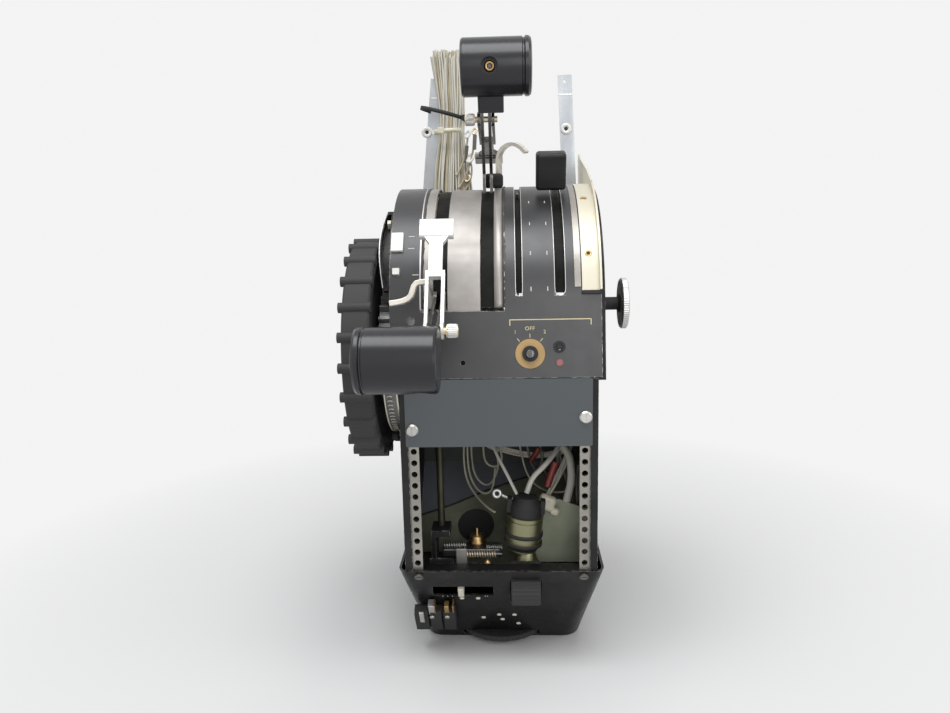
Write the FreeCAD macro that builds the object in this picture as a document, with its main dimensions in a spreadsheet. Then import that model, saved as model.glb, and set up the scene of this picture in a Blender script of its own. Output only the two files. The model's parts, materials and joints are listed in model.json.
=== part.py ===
"""Centre pedestal throttle quadrant of a small twin-engine aircraft.

The origin lies on the underside of the base, straight below the shaft that carries the levers.
+X points to the right-hand side, +Y forward in the aircraft (away from the crew) and +Z up.
Every lever angle is measured about the lever shaft, from level and aft (0) to straight up (90).
"""
import FreeCAD, Part
import math
import os
import sys
from types import SimpleNamespace

import Sketcher
from FreeCAD import Placement, Rotation, Vector

# Driving dimensions: alias, millimetres or degrees, meaning
DIMENSIONS = [
    ("rail_margin", 10.2375, "line of rail holes to the outside of the bay"),
    ("sheet_wall", 2, "thickness of the frame's sheet"),
    ("face_front", 118, "front plane of the bay, ahead of the shaft"),
    ("body_rear", 109, "rear edge of the frame, behind the shaft"),
    ("bay_low", 70, "lower edge of the bay sides"),
    ("bay_high", 250, "upper edge of the bay sides"),
    ("flange_width", 6.1, "front flange of a bay side"),
    ("rail_spacing", 136.525, "between the two lines of rail holes"),
    ("rail_pitch", 9.525, "between two holes of a rail"),
    ("rail_count", 11, "open holes of a rail"),
    ("rail_top", 191, "height of the top open hole"),
    ("rail_hole", 5, "diameter of a rail hole"),
    ("rail_edge", 4.1, "rail beyond its line of holes"),
    ("rail_wall", 3, "thickness of a rail"),
    ("housing_high", 90, "upper edge of the trim housing"),
    ("housing_top_lap", 6, "housing beyond the bay at its upper edge"),
    ("housing_base_lap", 8.5, "housing inside the bay's width at the base"),
    ("corner_top", 9, "front corner radius of the housing at its upper edge"),
    ("corner_base", 18, "front corner radius of the housing at the base"),
    ("housing_front", 120.3, "upper front edge of the housing"),
    ("base_front", 62, "lower front edge of the housing"),
    ("base_wall", 3, "thickness of the base plate"),
    ("base_hole", 5.2, "diameter of a base hole"),
    ("base_hole_x", 110, "base hole spacing across"),
    ("base_hole_y", 130, "base hole spacing along"),
    ("shaft_high", 290, "height of the lever shaft"),
    ("shaft_dia", 12, "diameter of the lever shaft"),
    ("drum_radius", 109, "outside of the quadrant cover"),
    ("cover_wall", 1.6, "thickness of the quadrant cover"),
    ("cover_lap", 3, "cover beyond the bay on the right"),
    ("face_lean", 11, "how far the selector face leans back"),
    ("cover_end", 150, "angle where the cover ends at the rear"),
    ("cheek_wall", 6, "thickness of a drum cheek"),
    ("cheek_low", 248, "lower edge of a drum cheek"),
    ("panel_low", 196, "lower edge of the blank panel"),
    ("panel_width", 147.6, "width of the blank panel"),
    ("panel_wall", 2, "thickness of the blank panel"),
    ("stud_dia", 10, "head of a panel stud"),
    ("opening_left", 60, "left edge of the throttle opening"),
    ("opening_right", 6, "right edge of the throttle opening"),
    ("opening_low", 6.6, "lower angle of the throttle opening"),
    ("slot_low", 12.6, "lower angle of the flap slots"),
    ("slot_high", 101, "upper angle of every slot"),
    ("flap_x", 49.5, "flap lever slot from the middle"),
    ("flap_slot", 8.5, "width of the flap lever slot"),
    ("flap_angle", 70, "stored angle of the flap lever"),
    ("flap_rise", 4, "foot of the flap paddle above the cover"),
    ("flap_plate", 4, "thickness of the flap lever"),
    ("paddle_width", 25, "flap paddle across"),
    ("paddle_height", 31, "flap paddle along the lever"),
    ("paddle_depth", 13, "flap paddle front to back"),
    ("paddle_shift", 3.8, "middle of the flap paddle left of its lever"),
    ("pointer_x", 17.5, "flap indicator slot from the middle"),
    ("pointer_slot", 5.5, "width of the flap indicator slot"),
    ("left_arm_x", -44, "left throttle arm"),
    ("right_arm_x", -7.5, "right throttle arm"),
    ("left_angle", 11, "stored angle of the left throttle"),
    ("right_angle", 84.5, "stored angle of the right throttle"),
    ("arm_wall", 2.6, "thickness of one arm plate"),
    ("arm_gap", 3.6, "gap between the two arm plates"),
    ("arm_depth", 14, "depth of an arm plate"),
    ("arm_reach", 118, "shaft to the arm's elbow"),
    ("arm_bend", 27.6, "bend of the arm at its elbow"),
    ("grip_reach", 99.3, "elbow to the grip's centre"),
    ("grip_dia", 44.8, "diameter of the grip"),
    ("grip_length", 55.7, "length of the grip"),
    ("left_grip_shift", -21, "left grip beside its arm"),
    ("right_grip_shift", 9.5, "right grip beside its arm"),
    ("neck_shift", 4.5, "neck of the grip beside the arm"),
    ("neck_width", 21, "neck of the grip across"),
    ("neck_depth", 18, "neck of the grip front to back"),
    ("neck_height", 12, "neck of the grip below the barrel"),
    ("toggle_drop", 44.4, "grip's centre to the reverser lever's pin"),
    ("toggle_angle", 140.8, "stored angle of the reverser lever from the arm"),
    ("toggle_length", 85.3, "pin to the middle of the reverser's cross bar"),
    ("toggle_width", 10, "stem of the reverser lever"),
    ("toggle_bar", 25.4, "cross bar of the reverser lever"),
    ("pin_dia", 5, "pin of the reverser lever"),
    ("fork_reach", 43, "pin to the root of the reverser lever's fork"),
    ("grip_hole", 13, "screw recess in the neck of the grip"),
    ("latch_shift", 8, "finger latch beside the arm"),
    ("latch_wall", 3, "thickness of the finger latch"),
    ("latch_lift", 15, "finger latch ahead of the arm"),
    ("latch_reach", 131, "shaft to the bend of the finger latch"),
    ("latch_bend", 16, "outside radius of the finger latch's hook"),
    ("latch_sweep", 130, "angle that the hook of the finger latch turns through"),
    ("latch_tilt", 31, "how far the hook of the finger latch leans back"),
    ("wheel_forward", 58, "trim wheel axle aft of the lever shaft"),
    ("wheel_high", 266, "height of the trim wheel axle"),
    ("wheel_radius", 89, "rim of the trim wheel"),
    ("wheel_gap", 10.7, "drum cheek to the trim wheel"),
    ("wheel_width", 21, "width of the trim wheel's rim"),
    ("wheel_ribs", 24, "grip ribs of the trim wheel"),
    ("rib_radius", 4, "radius of a grip rib"),
    ("axle_dia", 16, "trim wheel axle"),
    ("sprocket_radius", 54, "trim sprocket at its tooth tips"),
    ("sprocket_teeth", 30, "teeth of the trim sprocket"),
    ("guard_radius", 71, "outside of the chain guard"),
    ("channel_low", 16, "lower angle of the trim scale"),
    ("channel_high", 57, "upper angle of the trim scale"),
    ("trim_angle", 50, "stored angle of the trim pointer"),
    ("knob_forward", 68, "friction knob aft of the lever shaft"),
    ("knob_high", 302, "height of the friction knob"),
    ("knob_dia", 41, "diameter of the friction knob"),
    ("knob_gap", 16, "drum cheek to the friction knob"),
    ("knob_width", 5.5, "width of the friction knob"),
    ("knob_shaft", 10, "friction knob shaft"),
    ("run_gap", 0.06, "radial clearance of a running fit"),
    ("side_gap", 0.3, "clearance beside a moving piece"),
    ("selector_x", 25.5, "selector from the middle"),
    ("selector_high", 269.5, "height of the selector"),
    ("lamp_x", 48.3, "lamps from the middle"),
    ("lamp_high", 274.5, "height of the press-to-test lamp"),
    ("light_high", 262.5, "height of the red light"),
    ("strut_width", 13.5, "rear strut across"),
    ("strut_high", 505, "upper end of the rear struts"),
    ("strut_y", 82, "front face of the rear struts"),
    ("roller_x", 20.5, "rudder trim roller from the middle"),
    ("roller_width", 24.5, "rudder trim roller across"),
    ("roller_radius", 18, "rudder trim roller"),
    ("roller_depth", 8, "axis of the rudder trim roller behind the face"),
    ("roller_drop", 30.5, "axis of the rudder trim roller below the upper edge of the face"),
    ("window_height", 14.5, "rudder trim indicator slot, up and down"),
    ("aileron_x", -1, "aileron trim wheel from the middle"),
    ("aileron_y", 41, "axle of the aileron trim wheel aft of the lever shaft"),
    ("aileron_radius", 39, "aileron trim wheel"),
    ("aileron_wall", 4.5, "thickness of the aileron trim wheel"),
]


# ---------------------------------------------------------------- sizes that know their cell
class Size:
    """A number together with the spreadsheet expression that it comes from."""

    def __init__(self, value, text, bound=True):
        self.value = value
        self.text = text
        self.bound = bound

    def join(self, other, sign, value):
        return Size(value, f"({self.text} {sign} {other.text})", self.bound or other.bound)

    def __add__(self, other):
        other = as_size(other)
        return self.join(other, "+", self.value + other.value)

    def __sub__(self, other):
        other = as_size(other)
        return self.join(other, "-", self.value - other.value)

    def __mul__(self, other):
        other = as_size(other)
        return self.join(other, "*", self.value * other.value)

    def __truediv__(self, other):
        other = as_size(other)
        return self.join(other, "/", self.value / other.value)

    def __radd__(self, other):
        return as_size(other) + self

    def __rsub__(self, other):
        return as_size(other) - self

    def __rmul__(self, other):
        return as_size(other) * self

    def __neg__(self):
        return as_size(0) - self


def as_size(amount):
    return amount if isinstance(amount, Size) else Size(float(amount), f"{float(amount):.6f}", False)


def number(amount):
    return as_size(amount).value


def cosine(angle):
    angle = as_size(angle)
    return Size(math.cos(math.radians(angle.value)), f"cos({angle.text})", angle.bound)


def sine(angle):
    angle = as_size(angle)
    return Size(math.sin(math.radians(angle.value)), f"sin({angle.text})", angle.bound)


def make_sheet():
    sheet = doc.addObject("Spreadsheet::Sheet", "Dims")
    sizes = {}
    for row, (alias, value, meaning) in enumerate(DIMENSIONS, start=1):
        sheet.set(f"A{row}", meaning)
        sheet.set(f"B{row}", str(value))
        sheet.setAlias(f"B{row}", alias)
        sizes[alias] = Size(float(value), f"Dims.{alias}")
    doc.recompute()
    cell = SimpleNamespace(**sizes)
    cell.bay_width = cell.rail_spacing + cell.rail_margin * 2
    cell.toggle_pivot = cell.grip_reach - cell.toggle_drop
    cheek = cell.bay_width / 2 + cell.cheek_wall
    cell.wheel_inner = cheek + cell.wheel_gap
    cell.knob_inner = cheek + cell.knob_gap
    cell.cover_left = cheek - 0.2
    cell.cover_right = cell.bay_width / 2 + cell.cover_lap
    cell.flap_reach = cell.drum_radius + cell.flap_rise
    cell.housing_top_width = cell.bay_width + cell.housing_top_lap * 2
    cell.housing_base_width = cell.bay_width - cell.housing_base_lap * 2
    return cell


# ---------------------------------------------------------------- building blocks
def bind(obj, name, amount):
    amount = as_size(amount)
    setattr(obj, name, amount.value)
    if amount.bound:
        obj.setExpression(name, amount.text)


def move(obj, x, y, z, turn=None):
    obj.Placement = Placement(Vector(number(x), number(y), number(z)), turn or Rotation())
    for axis, amount in (("x", x), ("y", y), ("z", z)):
        if as_size(amount).bound:
            obj.setExpression(f".Placement.Base.{axis}", as_size(amount).text)
    return obj


def box(xs, ys, zs):
    obj = doc.addObject("Part::Box", "Block")
    for name, (low, high) in (("Length", xs), ("Width", ys), ("Height", zs)):
        bind(obj, name, as_size(high) - low)
    return move(obj, xs[0], ys[0], zs[0])


ALONG = {"x": Rotation(Vector(0, 1, 0), 90), "y": Rotation(Vector(1, 0, 0), -90), "z": Rotation()}


def rod(axis, x, y, z, radius, length):
    """A cylinder that starts at the point and runs along +axis."""
    obj = doc.addObject("Part::Cylinder", "Rod")
    bind(obj, "Radius", radius)
    bind(obj, "Height", length)
    return move(obj, x, y, z, ALONG[axis])


def tube(axis, x, y, z, radius, bore, length):
    return cut(rod(axis, x, y, z, radius, length), rod(axis, x, y, z, bore, length))


def cone(axis, x, y, z, radius, top, length):
    obj = doc.addObject("Part::Cone", "Cone")
    bind(obj, "Radius1", radius)
    bind(obj, "Radius2", top)
    bind(obj, "Height", length)
    return move(obj, x, y, z, ALONG[axis])


def sector(xs, radius, low, high):
    """A slice of a drum about the lever shaft, from one lever angle to another."""
    obj = doc.addObject("Part::Cylinder", "Slice")
    bind(obj, "Radius", radius)
    bind(obj, "Height", as_size(xs[1]) - xs[0])
    bind(obj, "Angle", as_size(high) - low)
    start = math.radians(number(low))
    outward = Vector(0, -math.cos(start), math.sin(start))
    onward = Vector(0, math.sin(start), math.cos(start))
    return move(obj, xs[1], 0, d.shaft_high, Rotation(outward, onward, Vector(-1, 0, 0), "XYZ"))


def arc_plate(xs, radius, wall, low, high):
    """A curved plate about the lever shaft."""
    core = sector((as_size(xs[0]) - 1, as_size(xs[1]) + 1), as_size(radius) - wall, low - 2, high + 2)
    return cut(sector(xs, radius, low, high), core)


def cut(base, *tools):
    for tool in tools:
        obj = doc.addObject("Part::Cut", "Cut")
        obj.Base = base
        obj.Tool = tool
        base = obj
    return base


def fuse(*shapes):
    obj = doc.addObject("Part::MultiFuse", "Fuse")
    obj.Shapes = list(shapes)
    return obj


def common(base, tool):
    obj = doc.addObject("Part::Common", "Common")
    obj.Base = base
    obj.Tool = tool
    return obj


def group(*shapes):
    obj = doc.addObject("Part::Compound", "Group")
    obj.Links = list(shapes)
    return obj


def set_at(obj, placement):
    obj.Placement = placement
    return obj


def soften(obj, radius, axis=None):
    """Round the straight edges that run along an axis, or all of them."""
    doc.recompute()
    picked = []
    for index, edge in enumerate(obj.Shape.Edges, start=1):
        along = edge.tangentAt(edge.FirstParameter)
        straight = edge.Curve.TypeId == "Part::GeomLine"
        if axis is None or (straight and abs(getattr(along, axis)) > 0.99):
            picked.append((index, radius, radius))
    fillet = doc.addObject("Part::Fillet", "Rounded")
    fillet.Base = obj
    fillet.Edges = picked
    return fillet


def round_front(obj, base_radius, top_radius):
    """Round the two upright front corners, from one radius at the base to another at the top."""
    doc.recompute()
    picked = []
    for index, edge in enumerate(obj.Shape.Edges, start=1):
        first = edge.valueAt(edge.FirstParameter)
        last = edge.valueAt(edge.LastParameter)
        if abs(last.z - first.z) > 1 and first.y + last.y < 0:
            radii = (base_radius, top_radius) if first.z < last.z else (top_radius, base_radius)
            picked.append((index,) + radii)
    fillet = doc.addObject("Part::Fillet", "RoundedFront")
    fillet.Base = obj
    fillet.Edges = picked
    return fillet


def outline(body, role, points):
    """A closed polygon sketch whose corners are tied to the sheet."""
    sketch = body.newObject("Sketcher::SketchObject", "Outline")
    plane = [item for item in body.Origin.OriginFeatures if item.Role == role][0]
    sketch.AttachmentSupport = [(plane, "")]
    sketch.MapMode = "FlatFace"
    corners = [Vector(number(u), number(v), 0) for u, v in points]
    count = len(corners)
    for index, corner in enumerate(corners):
        sketch.addGeometry(Part.LineSegment(corner, corners[(index + 1) % count]), False)
    for index in range(count):
        sketch.addConstraint(Sketcher.Constraint("Coincident", index, 2, (index + 1) % count, 1))
    for index, (u, v) in enumerate(points):
        for kind, amount in (("DistanceX", as_size(u)), ("DistanceY", as_size(v))):
            row = sketch.addConstraint(Sketcher.Constraint(kind, -1, 1, index, 1, amount.value))
            if amount.bound:
                sketch.setExpression(f"Constraints[{row}]", amount.text)
    return sketch


def prism(role, points, length):
    """A body padded from a polygon: YZ_Plane towards +X, XZ_Plane towards -Y, XY_Plane towards +Z."""
    body = doc.addObject("PartDesign::Body", "Body")
    pad = body.newObject("PartDesign::Pad", "Pad")
    pad.Profile = outline(body, role, points)
    bind(pad, "Length", length)
    return body


def turned(points):
    """A body turned about Z from (radius, height) corners."""
    body = doc.addObject("PartDesign::Body", "Turned")
    sketch = outline(body, "XZ_Plane", points)
    spin = body.newObject("PartDesign::Revolution", "Spin")
    spin.Profile = sketch
    spin.ReferenceAxis = (sketch, ["V_Axis"])
    spin.Angle = 360
    return body


def wedge(bottom, top, low, high):
    """A four-sided frustum; bottom and top are (x0, x1, y0, y1) rectangles."""
    obj = doc.addObject("Part::Wedge", "Frustum")
    for name, amount in (("Xmin", bottom[0]), ("Xmax", bottom[1]), ("Zmin", -as_size(bottom[3])),
                         ("Zmax", -as_size(bottom[2])), ("X2min", top[0]), ("X2max", top[1]),
                         ("Z2min", -as_size(top[3])), ("Z2max", -as_size(top[2])),
                         ("Ymin", low), ("Ymax", high)):
        bind(obj, name, amount)
    return set_at(obj, Placement(Vector(), Rotation(Vector(1, 0, 0), 90)))


def wire(points, radius):
    """A round lead along straight runs joined by large tangent arcs."""
    corners = [Vector(*point) for point in points]
    edges = []
    bends = []
    start = corners[0]
    for before, corner, after in zip(corners, corners[1:], corners[2:]):
        inward = (corner - before).normalize()
        onward = (after - corner).normalize()
        setback = 0.45 * min((corner - before).Length, (after - corner).Length)
        first = corner - inward * setback
        last = corner + onward * setback
        half_turn = inward.getAngle(onward) / 2
        bisector = (onward - inward).normalize()
        bend = setback / math.tan(half_turn)
        bends.append(bend)
        middle = corner + bisector * (bend / math.cos(half_turn) - bend)
        edges.append(Part.LineSegment(start, first).toShape())
        edges.append(Part.Arc(first, middle, last).toShape())
        start = last
    edges.append(Part.LineSegment(start, corners[-1]).toShape())
    path = Part.Wire(edges)
    ring = Part.Wire(Part.Circle(corners[0], corners[1] - corners[0], radius).toShape())
    obj = doc.addObject("Part::Feature", "Lead")
    obj.Shape = path.makePipeShell([ring], True, False)
    share = obj.Shape.Volume / (math.pi * radius * radius * path.Length)
    print(f"lead of {radius} mm: tightest bend {min(bends):.1f} mm, {share:.4f} of section times length")
    return obj


def sub_part(name, obj):
    obj.Label = name
    sub_parts.append(obj)
    return obj


def swing(angle):
    """The frame of a lever: -Y runs out along it and +Z ahead of it."""
    turn = Rotation(Vector(1, 0, 0), -number(angle))
    return Placement(Vector(0, 0, d.shaft_high.value), turn)


# ---------------------------------------------------------------- frame and trim housing
def housing_frame():
    """Origin at the middle of the housing's upper front edge, -Y out of the face, Z up along it."""
    run = d.housing_front.value - d.base_front.value
    lean = math.degrees(math.atan2(run, d.housing_high.value))
    edge = Vector(0, -d.housing_front.value, d.housing_high.value)
    return Placement(edge, Rotation(Vector(1, 0, 0), lean))


def trim_housing():
    wall = d.sheet_wall
    top = d.housing_top_width / 2
    low = d.housing_base_width / 2
    outside = wedge((-low, low, -d.base_front, d.body_rear), (-top, top, -d.housing_front, d.body_rear),
                    0, d.housing_high)
    core = wedge((wall - low, low - wall, wall - d.base_front, d.body_rear - wall),
                 (wall - top, top - wall, wall - d.housing_front, d.body_rear - wall),
                 0, d.housing_high)
    lower = number(d.corner_base)
    upper = number(d.corner_top)
    shell = cut(round_front(outside, lower, upper),
                round_front(core, lower - number(wall), upper - number(wall)))
    inside = d.bay_width / 2 - wall
    sill = fuse(box((-inside, inside), (-d.face_front, wall - d.face_front), (87.5, d.housing_high)),
                box((-inside, inside), (-d.face_front, -105), (d.housing_high - wall, d.housing_high)))
    shell = fuse(shell, sill)
    slot = d.window_height / 2
    mouth = d.roller_radius
    windows = group(
        soften(box((-58, -7), (-6, 6), (-d.roller_drop - slot, -d.roller_drop + slot)), 1, "y"),
        box((d.roller_x - d.roller_width / 2 - 1, d.roller_x + d.roller_width / 2 + 1), (-6, 6),
            (-d.roller_drop - mouth, -d.roller_drop + mouth)),
        rod("y", -67.7, -6, -6.5, 2.1, 18),
        rod("y", 67.7, -6, -6.5, 2.1, 18))
    high = d.base_wall + d.aileron_wall + 1.1
    thumb_slot = box((d.aileron_x - 34, d.aileron_x + 34), (-110, wall - d.base_front),
                     (d.base_wall, high))
    sub_part("trim_housing", cut(shell, set_at(windows, housing_frame()), thumb_slot))
    heads = []
    for side in (-1, 1):
        head = cut(rod("y", side * 67.7, -1.6, -6.5, 3.6, 1.6),
                   box((side * 67.7 - 3, side * 67.7 + 3), (-1.7, -0.9), (-6.9, -6.1)))
        heads.append(fuse(head, rod("y", side * 67.7, 0, -6.5, 1.9, 7)))
    sub_part("housing_screws", set_at(group(*heads), housing_frame()))
    half = low - wall
    plate = round_front(box((-half, half), (wall - d.base_front, d.body_rear - wall), (0, d.base_wall)),
                        lower, lower)
    post = rod("z", d.aileron_x, -d.aileron_y, 0, 4, high)
    holes = [rod("z", x * d.base_hole_x / 2, y * d.base_hole_y / 2 + 22, -1, d.base_hole / 2, 6)
             for x in (-1, 1) for y in (-1, 1)]
    window = soften(box((-32, 32), (18, 72), (-1, 6)), 8, "z")
    sub_part("base_plate", cut(fuse(plate, post), window, *holes))


def bay():
    half = d.bay_width / 2
    wall = d.sheet_wall
    line = d.rail_spacing / 2
    rails = []
    for side, word in ((-1, "left"), (1, "right")):
        outer, inner = side * half, side * (half - wall)
        lip = side * (half - d.flange_width)
        low, high = (outer, inner) if side < 0 else (inner, outer)
        side_line = [(3.5 - d.face_front, d.housing_high), (-d.face_front, d.housing_high + 0.3),
                     (-d.face_front, d.bay_high),
                     (d.body_rear, d.bay_high), (d.body_rear, d.housing_high),
                     (106.7, d.housing_high), (106.7, d.bay_low), (-98.5, d.bay_low)]
        web = move(prism("YZ_Plane", side_line, wall), low, 0, 0)
        low, high = (inner, lip) if side < 0 else (lip, inner)
        flange = box((low, high), (-d.face_front, wall - d.face_front), (d.housing_high, d.bay_high))
        rear = box((low, high), (d.body_rear - wall, d.body_rear), (d.housing_high, d.bay_high))
        sub_part(f"bay_side_{word}", fuse(web, flange, rear))
        edge = side * (line - d.rail_edge)
        low, high = (inner, edge) if side < 0 else (edge, inner)
        front = wall - d.face_front
        strip = box((low, high), (front, front + d.rail_wall), (d.housing_high, d.bay_high))
        rows = list(range(int(d.rail_count.value))) + [-2, -3]
        holes = [rod("y", side * line, front - 1, d.rail_top - d.rail_pitch * row, d.rail_hole / 2, 5)
                 for row in rows]
        rails.append(cut(strip, group(*holes)))
    sub_part("equipment_rails", group(*rails))
    inside = half - wall
    deck = box((-inside, inside), (-110, -20), (242, 244))
    openings = [box((-50, 10), (-100, -40), (240, 246)), box((20, 60), (-100, -40), (240, 246))]
    sub_part("upper_deck", cut(deck, *openings))
    back = prism("XZ_Plane", [(-inside, 60), (inside, 60), (inside, 240), (40, 240), (30, 225),
                              (-60, 225), (-inside, 240)], wall)
    sub_part("bay_back_panel", move(back, 0, 32, 0))
    sub_part("rear_deck", box((-inside, inside), (50, d.body_rear - wall), (246, 248)))
    shelf = prism("YZ_Plane", [(-58, 60), (-56.5, 58.7), (30, 132), (30, 134.6)], inside * 2)
    sub_part("sloping_shelf", move(shelf, -inside, 0, 0))


def blank_panel():
    half = d.panel_width / 2
    line = d.rail_spacing / 2
    places = [(-line, d.rail_top + d.rail_pitch * 2), (line, d.rail_top + d.rail_pitch * 3)]
    front = -d.face_front - d.panel_wall
    plate = box((-half, half), (front, -d.face_front), (d.panel_low, d.bay_high + 0.5))
    holes = [rod("y", x, front - 1, z, 2.6, 5) for x, z in places]
    sub_part("blank_panel", cut(soften(plate, 1.5, "y"), *holes))
    studs = []
    for x, z in places:
        head = cone("y", x, front - 2.6, z, d.stud_dia / 2 - 1, d.stud_dia / 2, 1)
        rim = rod("y", x, front - 1.6, z, d.stud_dia / 2, 1.6)
        slot = box((x - 0.7, x + 0.7), (front - 3, front - 1.7), (z - 3.4, z + 3.4))
        studs.append(fuse(cut(fuse(head, rim), slot), rod("y", x, front, z, 2.4, 9)))
    sub_part("panel_studs", group(*studs))


# ---------------------------------------------------------------- quadrant drum
def face_frame():
    """Origin on the shaft's radius where the flat face meets the drum, Z up along the face."""
    lean = math.radians(d.face_lean.value)
    radius = d.drum_radius.value
    corner = Vector(0, -radius * math.cos(lean), d.shaft_high.value + radius * math.sin(lean))
    return Placement(corner, Rotation(Vector(1, 0, 0), -d.face_lean.value))


def along_face(height):
    """Distance along the face from its upper edge to a height above the base."""
    drop = height - d.shaft_high - d.drum_radius * sine(d.face_lean)
    return drop / cosine(d.face_lean)


def quadrant_cover():
    wall = d.cover_wall
    xs = (-d.cover_left, d.cover_right)
    drum = arc_plate(xs, d.drum_radius, wall, d.face_lean, d.cover_end)
    slab = set_at(group(box(xs, (0, wall), (along_face(d.bay_high + 1), 0))), face_frame())
    holes = set_at(group(
        rod("y", d.selector_x, -2, along_face(d.selector_high), 5.2, 6),
        rod("y", d.lamp_x, -2, along_face(d.lamp_high), 3.6, 6),
        rod("y", d.lamp_x, -2, along_face(d.light_high), 2.1, 6),
        rod("y", -27, -2, along_face(263), 1.9, 6),
        rod("y", -67.5, -2, along_face(296), 3.4, 6)), face_frame())
    reach = d.drum_radius + 12
    opening = sector((-d.opening_left, d.opening_right), reach, d.opening_low, d.slot_high)
    flap = sector((d.flap_x - d.flap_slot / 2, d.flap_x + d.flap_slot / 2), reach,
                  d.slot_low, d.slot_high)
    pointer = sector((d.pointer_x - d.pointer_slot / 2, d.pointer_x + d.pointer_slot / 2), reach,
                     d.slot_low, d.slot_high)
    half = d.bay_width / 2
    button = sector((-half - 3.5, -half + 2.5), reach, 22, 25.2)
    leads = sector((-half + 3.5, 2), reach, d.slot_high, d.cover_end - 3)
    struts = [sector((half - d.strut_width - 1, half + 1), reach, 136, d.cover_end + 1),
              sector((-half - 1, d.strut_width + 1 - half), reach, 136, d.cover_end + 1)]
    tools = [opening, flap, pointer, button, leads, holes] + struts
    sub_part("quadrant_cover", cut(fuse(drum, slab), *tools))


def drum_inside():
    under = d.drum_radius - d.cover_wall - d.side_gap
    half_bay = d.bay_width / 2
    lean = d.face_lean
    for side, word in ((-1, "left"), (1, "right")):
        inner = side * half_bay
        outer = side * (half_bay + d.cheek_wall)
        xs = (outer, inner) if side < 0 else (inner, outer)
        disc = rod("x", xs[0], 0, d.shaft_high, under, d.cheek_wall)
        front = [(-d.face_front + d.cover_wall + 1, d.cheek_low), (under, d.cheek_low),
                 (under, d.shaft_high), (-under * cosine(lean), d.shaft_high + under * sine(lean))]
        lower = move(prism("YZ_Plane", front, d.cheek_wall), xs[0], 0, 0)
        below = box((xs[0] - 1, xs[1] + 1), (-130, 130), (150, d.cheek_low))
        bores = [rod("x", xs[0] - 1, 0, d.shaft_high, d.shaft_dia / 2, d.cheek_wall + 2)]
        if side < 0:
            notch = box((-half_bay - 3.9, -half_bay + 2.9), (-d.drum_radius - 3, -d.drum_radius + 11),
                        (-3.4, 3.4))
            bores.append(set_at(group(notch), swing(23.6)))
            bores.append(rod("x", xs[0] - 1, -d.wheel_forward, d.wheel_high, d.axle_dia / 2 + 0.02,
                             d.cheek_wall + 2))
        else:
            bores.append(rod("x", xs[0] - 1, -d.knob_forward, d.knob_high,
                             d.knob_shaft / 2 + d.run_gap, d.cheek_wall + 2))
        sub_part(f"drum_cheek_{word}", cut(fuse(disc, lower), below, *bores))
    spread = d.arm_gap / 2 + d.arm_wall
    slots = []
    for arm_x, side in ((d.left_arm_x, -1), (d.right_arm_x, 1)):
        near = arm_x - side * (spread + 1)
        far = arm_x + side * (d.latch_shift + d.latch_wall + 2)
        ends = (far, near) if side < 0 else (near, far)
        slots.append(sector(ends, d.drum_radius + 5, 5, d.slot_high))
    shield = arc_plate((-d.opening_left - 6, d.opening_right + 5), under, 1.2, 3.4, d.slot_high + 6)
    sub_part("lever_slot_shield", cut(shield, *slots))
    length = d.bay_width + 2 * d.cheek_wall + 6
    sub_part("lever_shaft", rod("x", -length / 2, 0, d.shaft_high, d.shaft_dia / 2, length))


# ---------------------------------------------------------------- throttles
def throttle(word, side, arm_x, angle, grip_shift):
    spread = d.arm_gap / 2 + d.arm_wall
    reach = d.arm_reach
    half = d.arm_depth / 2
    elbow = Placement(Vector(0, -reach.value, 0), Rotation(Vector(1, 0, 0), d.arm_bend.value))
    lever = swing(angle)
    neck_foot = d.grip_reach - d.grip_dia / 2 - d.neck_height
    plates = []
    for low, high in ((-spread, -d.arm_gap / 2), (d.arm_gap / 2, spread)):
        xs = (arm_x + low, arm_x + high)
        plates.append(box(xs, (-reach, 0), (-half, half)))
        plates.append(rod("x", xs[0], -reach, 0, half, d.arm_wall))
        upper = box(xs, (-neck_foot - 9, 0), (3 - half, half - 3))
        plates.append(set_at(group(upper), elbow))
    hub = rod("x", arm_x - spread, 0, 0, 16, spread * 2)
    pulley = doc.addObject("Part::Cylinder", "Pulley")
    bind(pulley, "Radius", 38)
    bind(pulley, "Height", d.arm_gap)
    pulley.Angle = 150
    move(pulley, arm_x - d.arm_gap / 2, 0, 0, Rotation(Vector(0, 0, -1), Vector(0, 1, 0),
                                                     Vector(1, 0, 0), "XYZ"))
    bore = rod("x", arm_x - spread - 1, 0, 0, d.shaft_dia / 2 + d.run_gap, spread * 2 + 2)
    eye = set_at(group(rod("x", arm_x - spread - 1, -d.toggle_pivot, 0, d.pin_dia / 2 + d.run_gap,
                           spread * 2 + 2)), elbow)
    sub_part(f"{word}_throttle_arm", set_at(cut(fuse(*plates, hub, pulley), bore, eye), lever))
    grip(word, side, arm_x, grip_shift, lever.multiply(elbow), neck_foot)
    toggle(word, side, arm_x, lever.multiply(elbow))
    latch(word, side, arm_x, lever)


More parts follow.
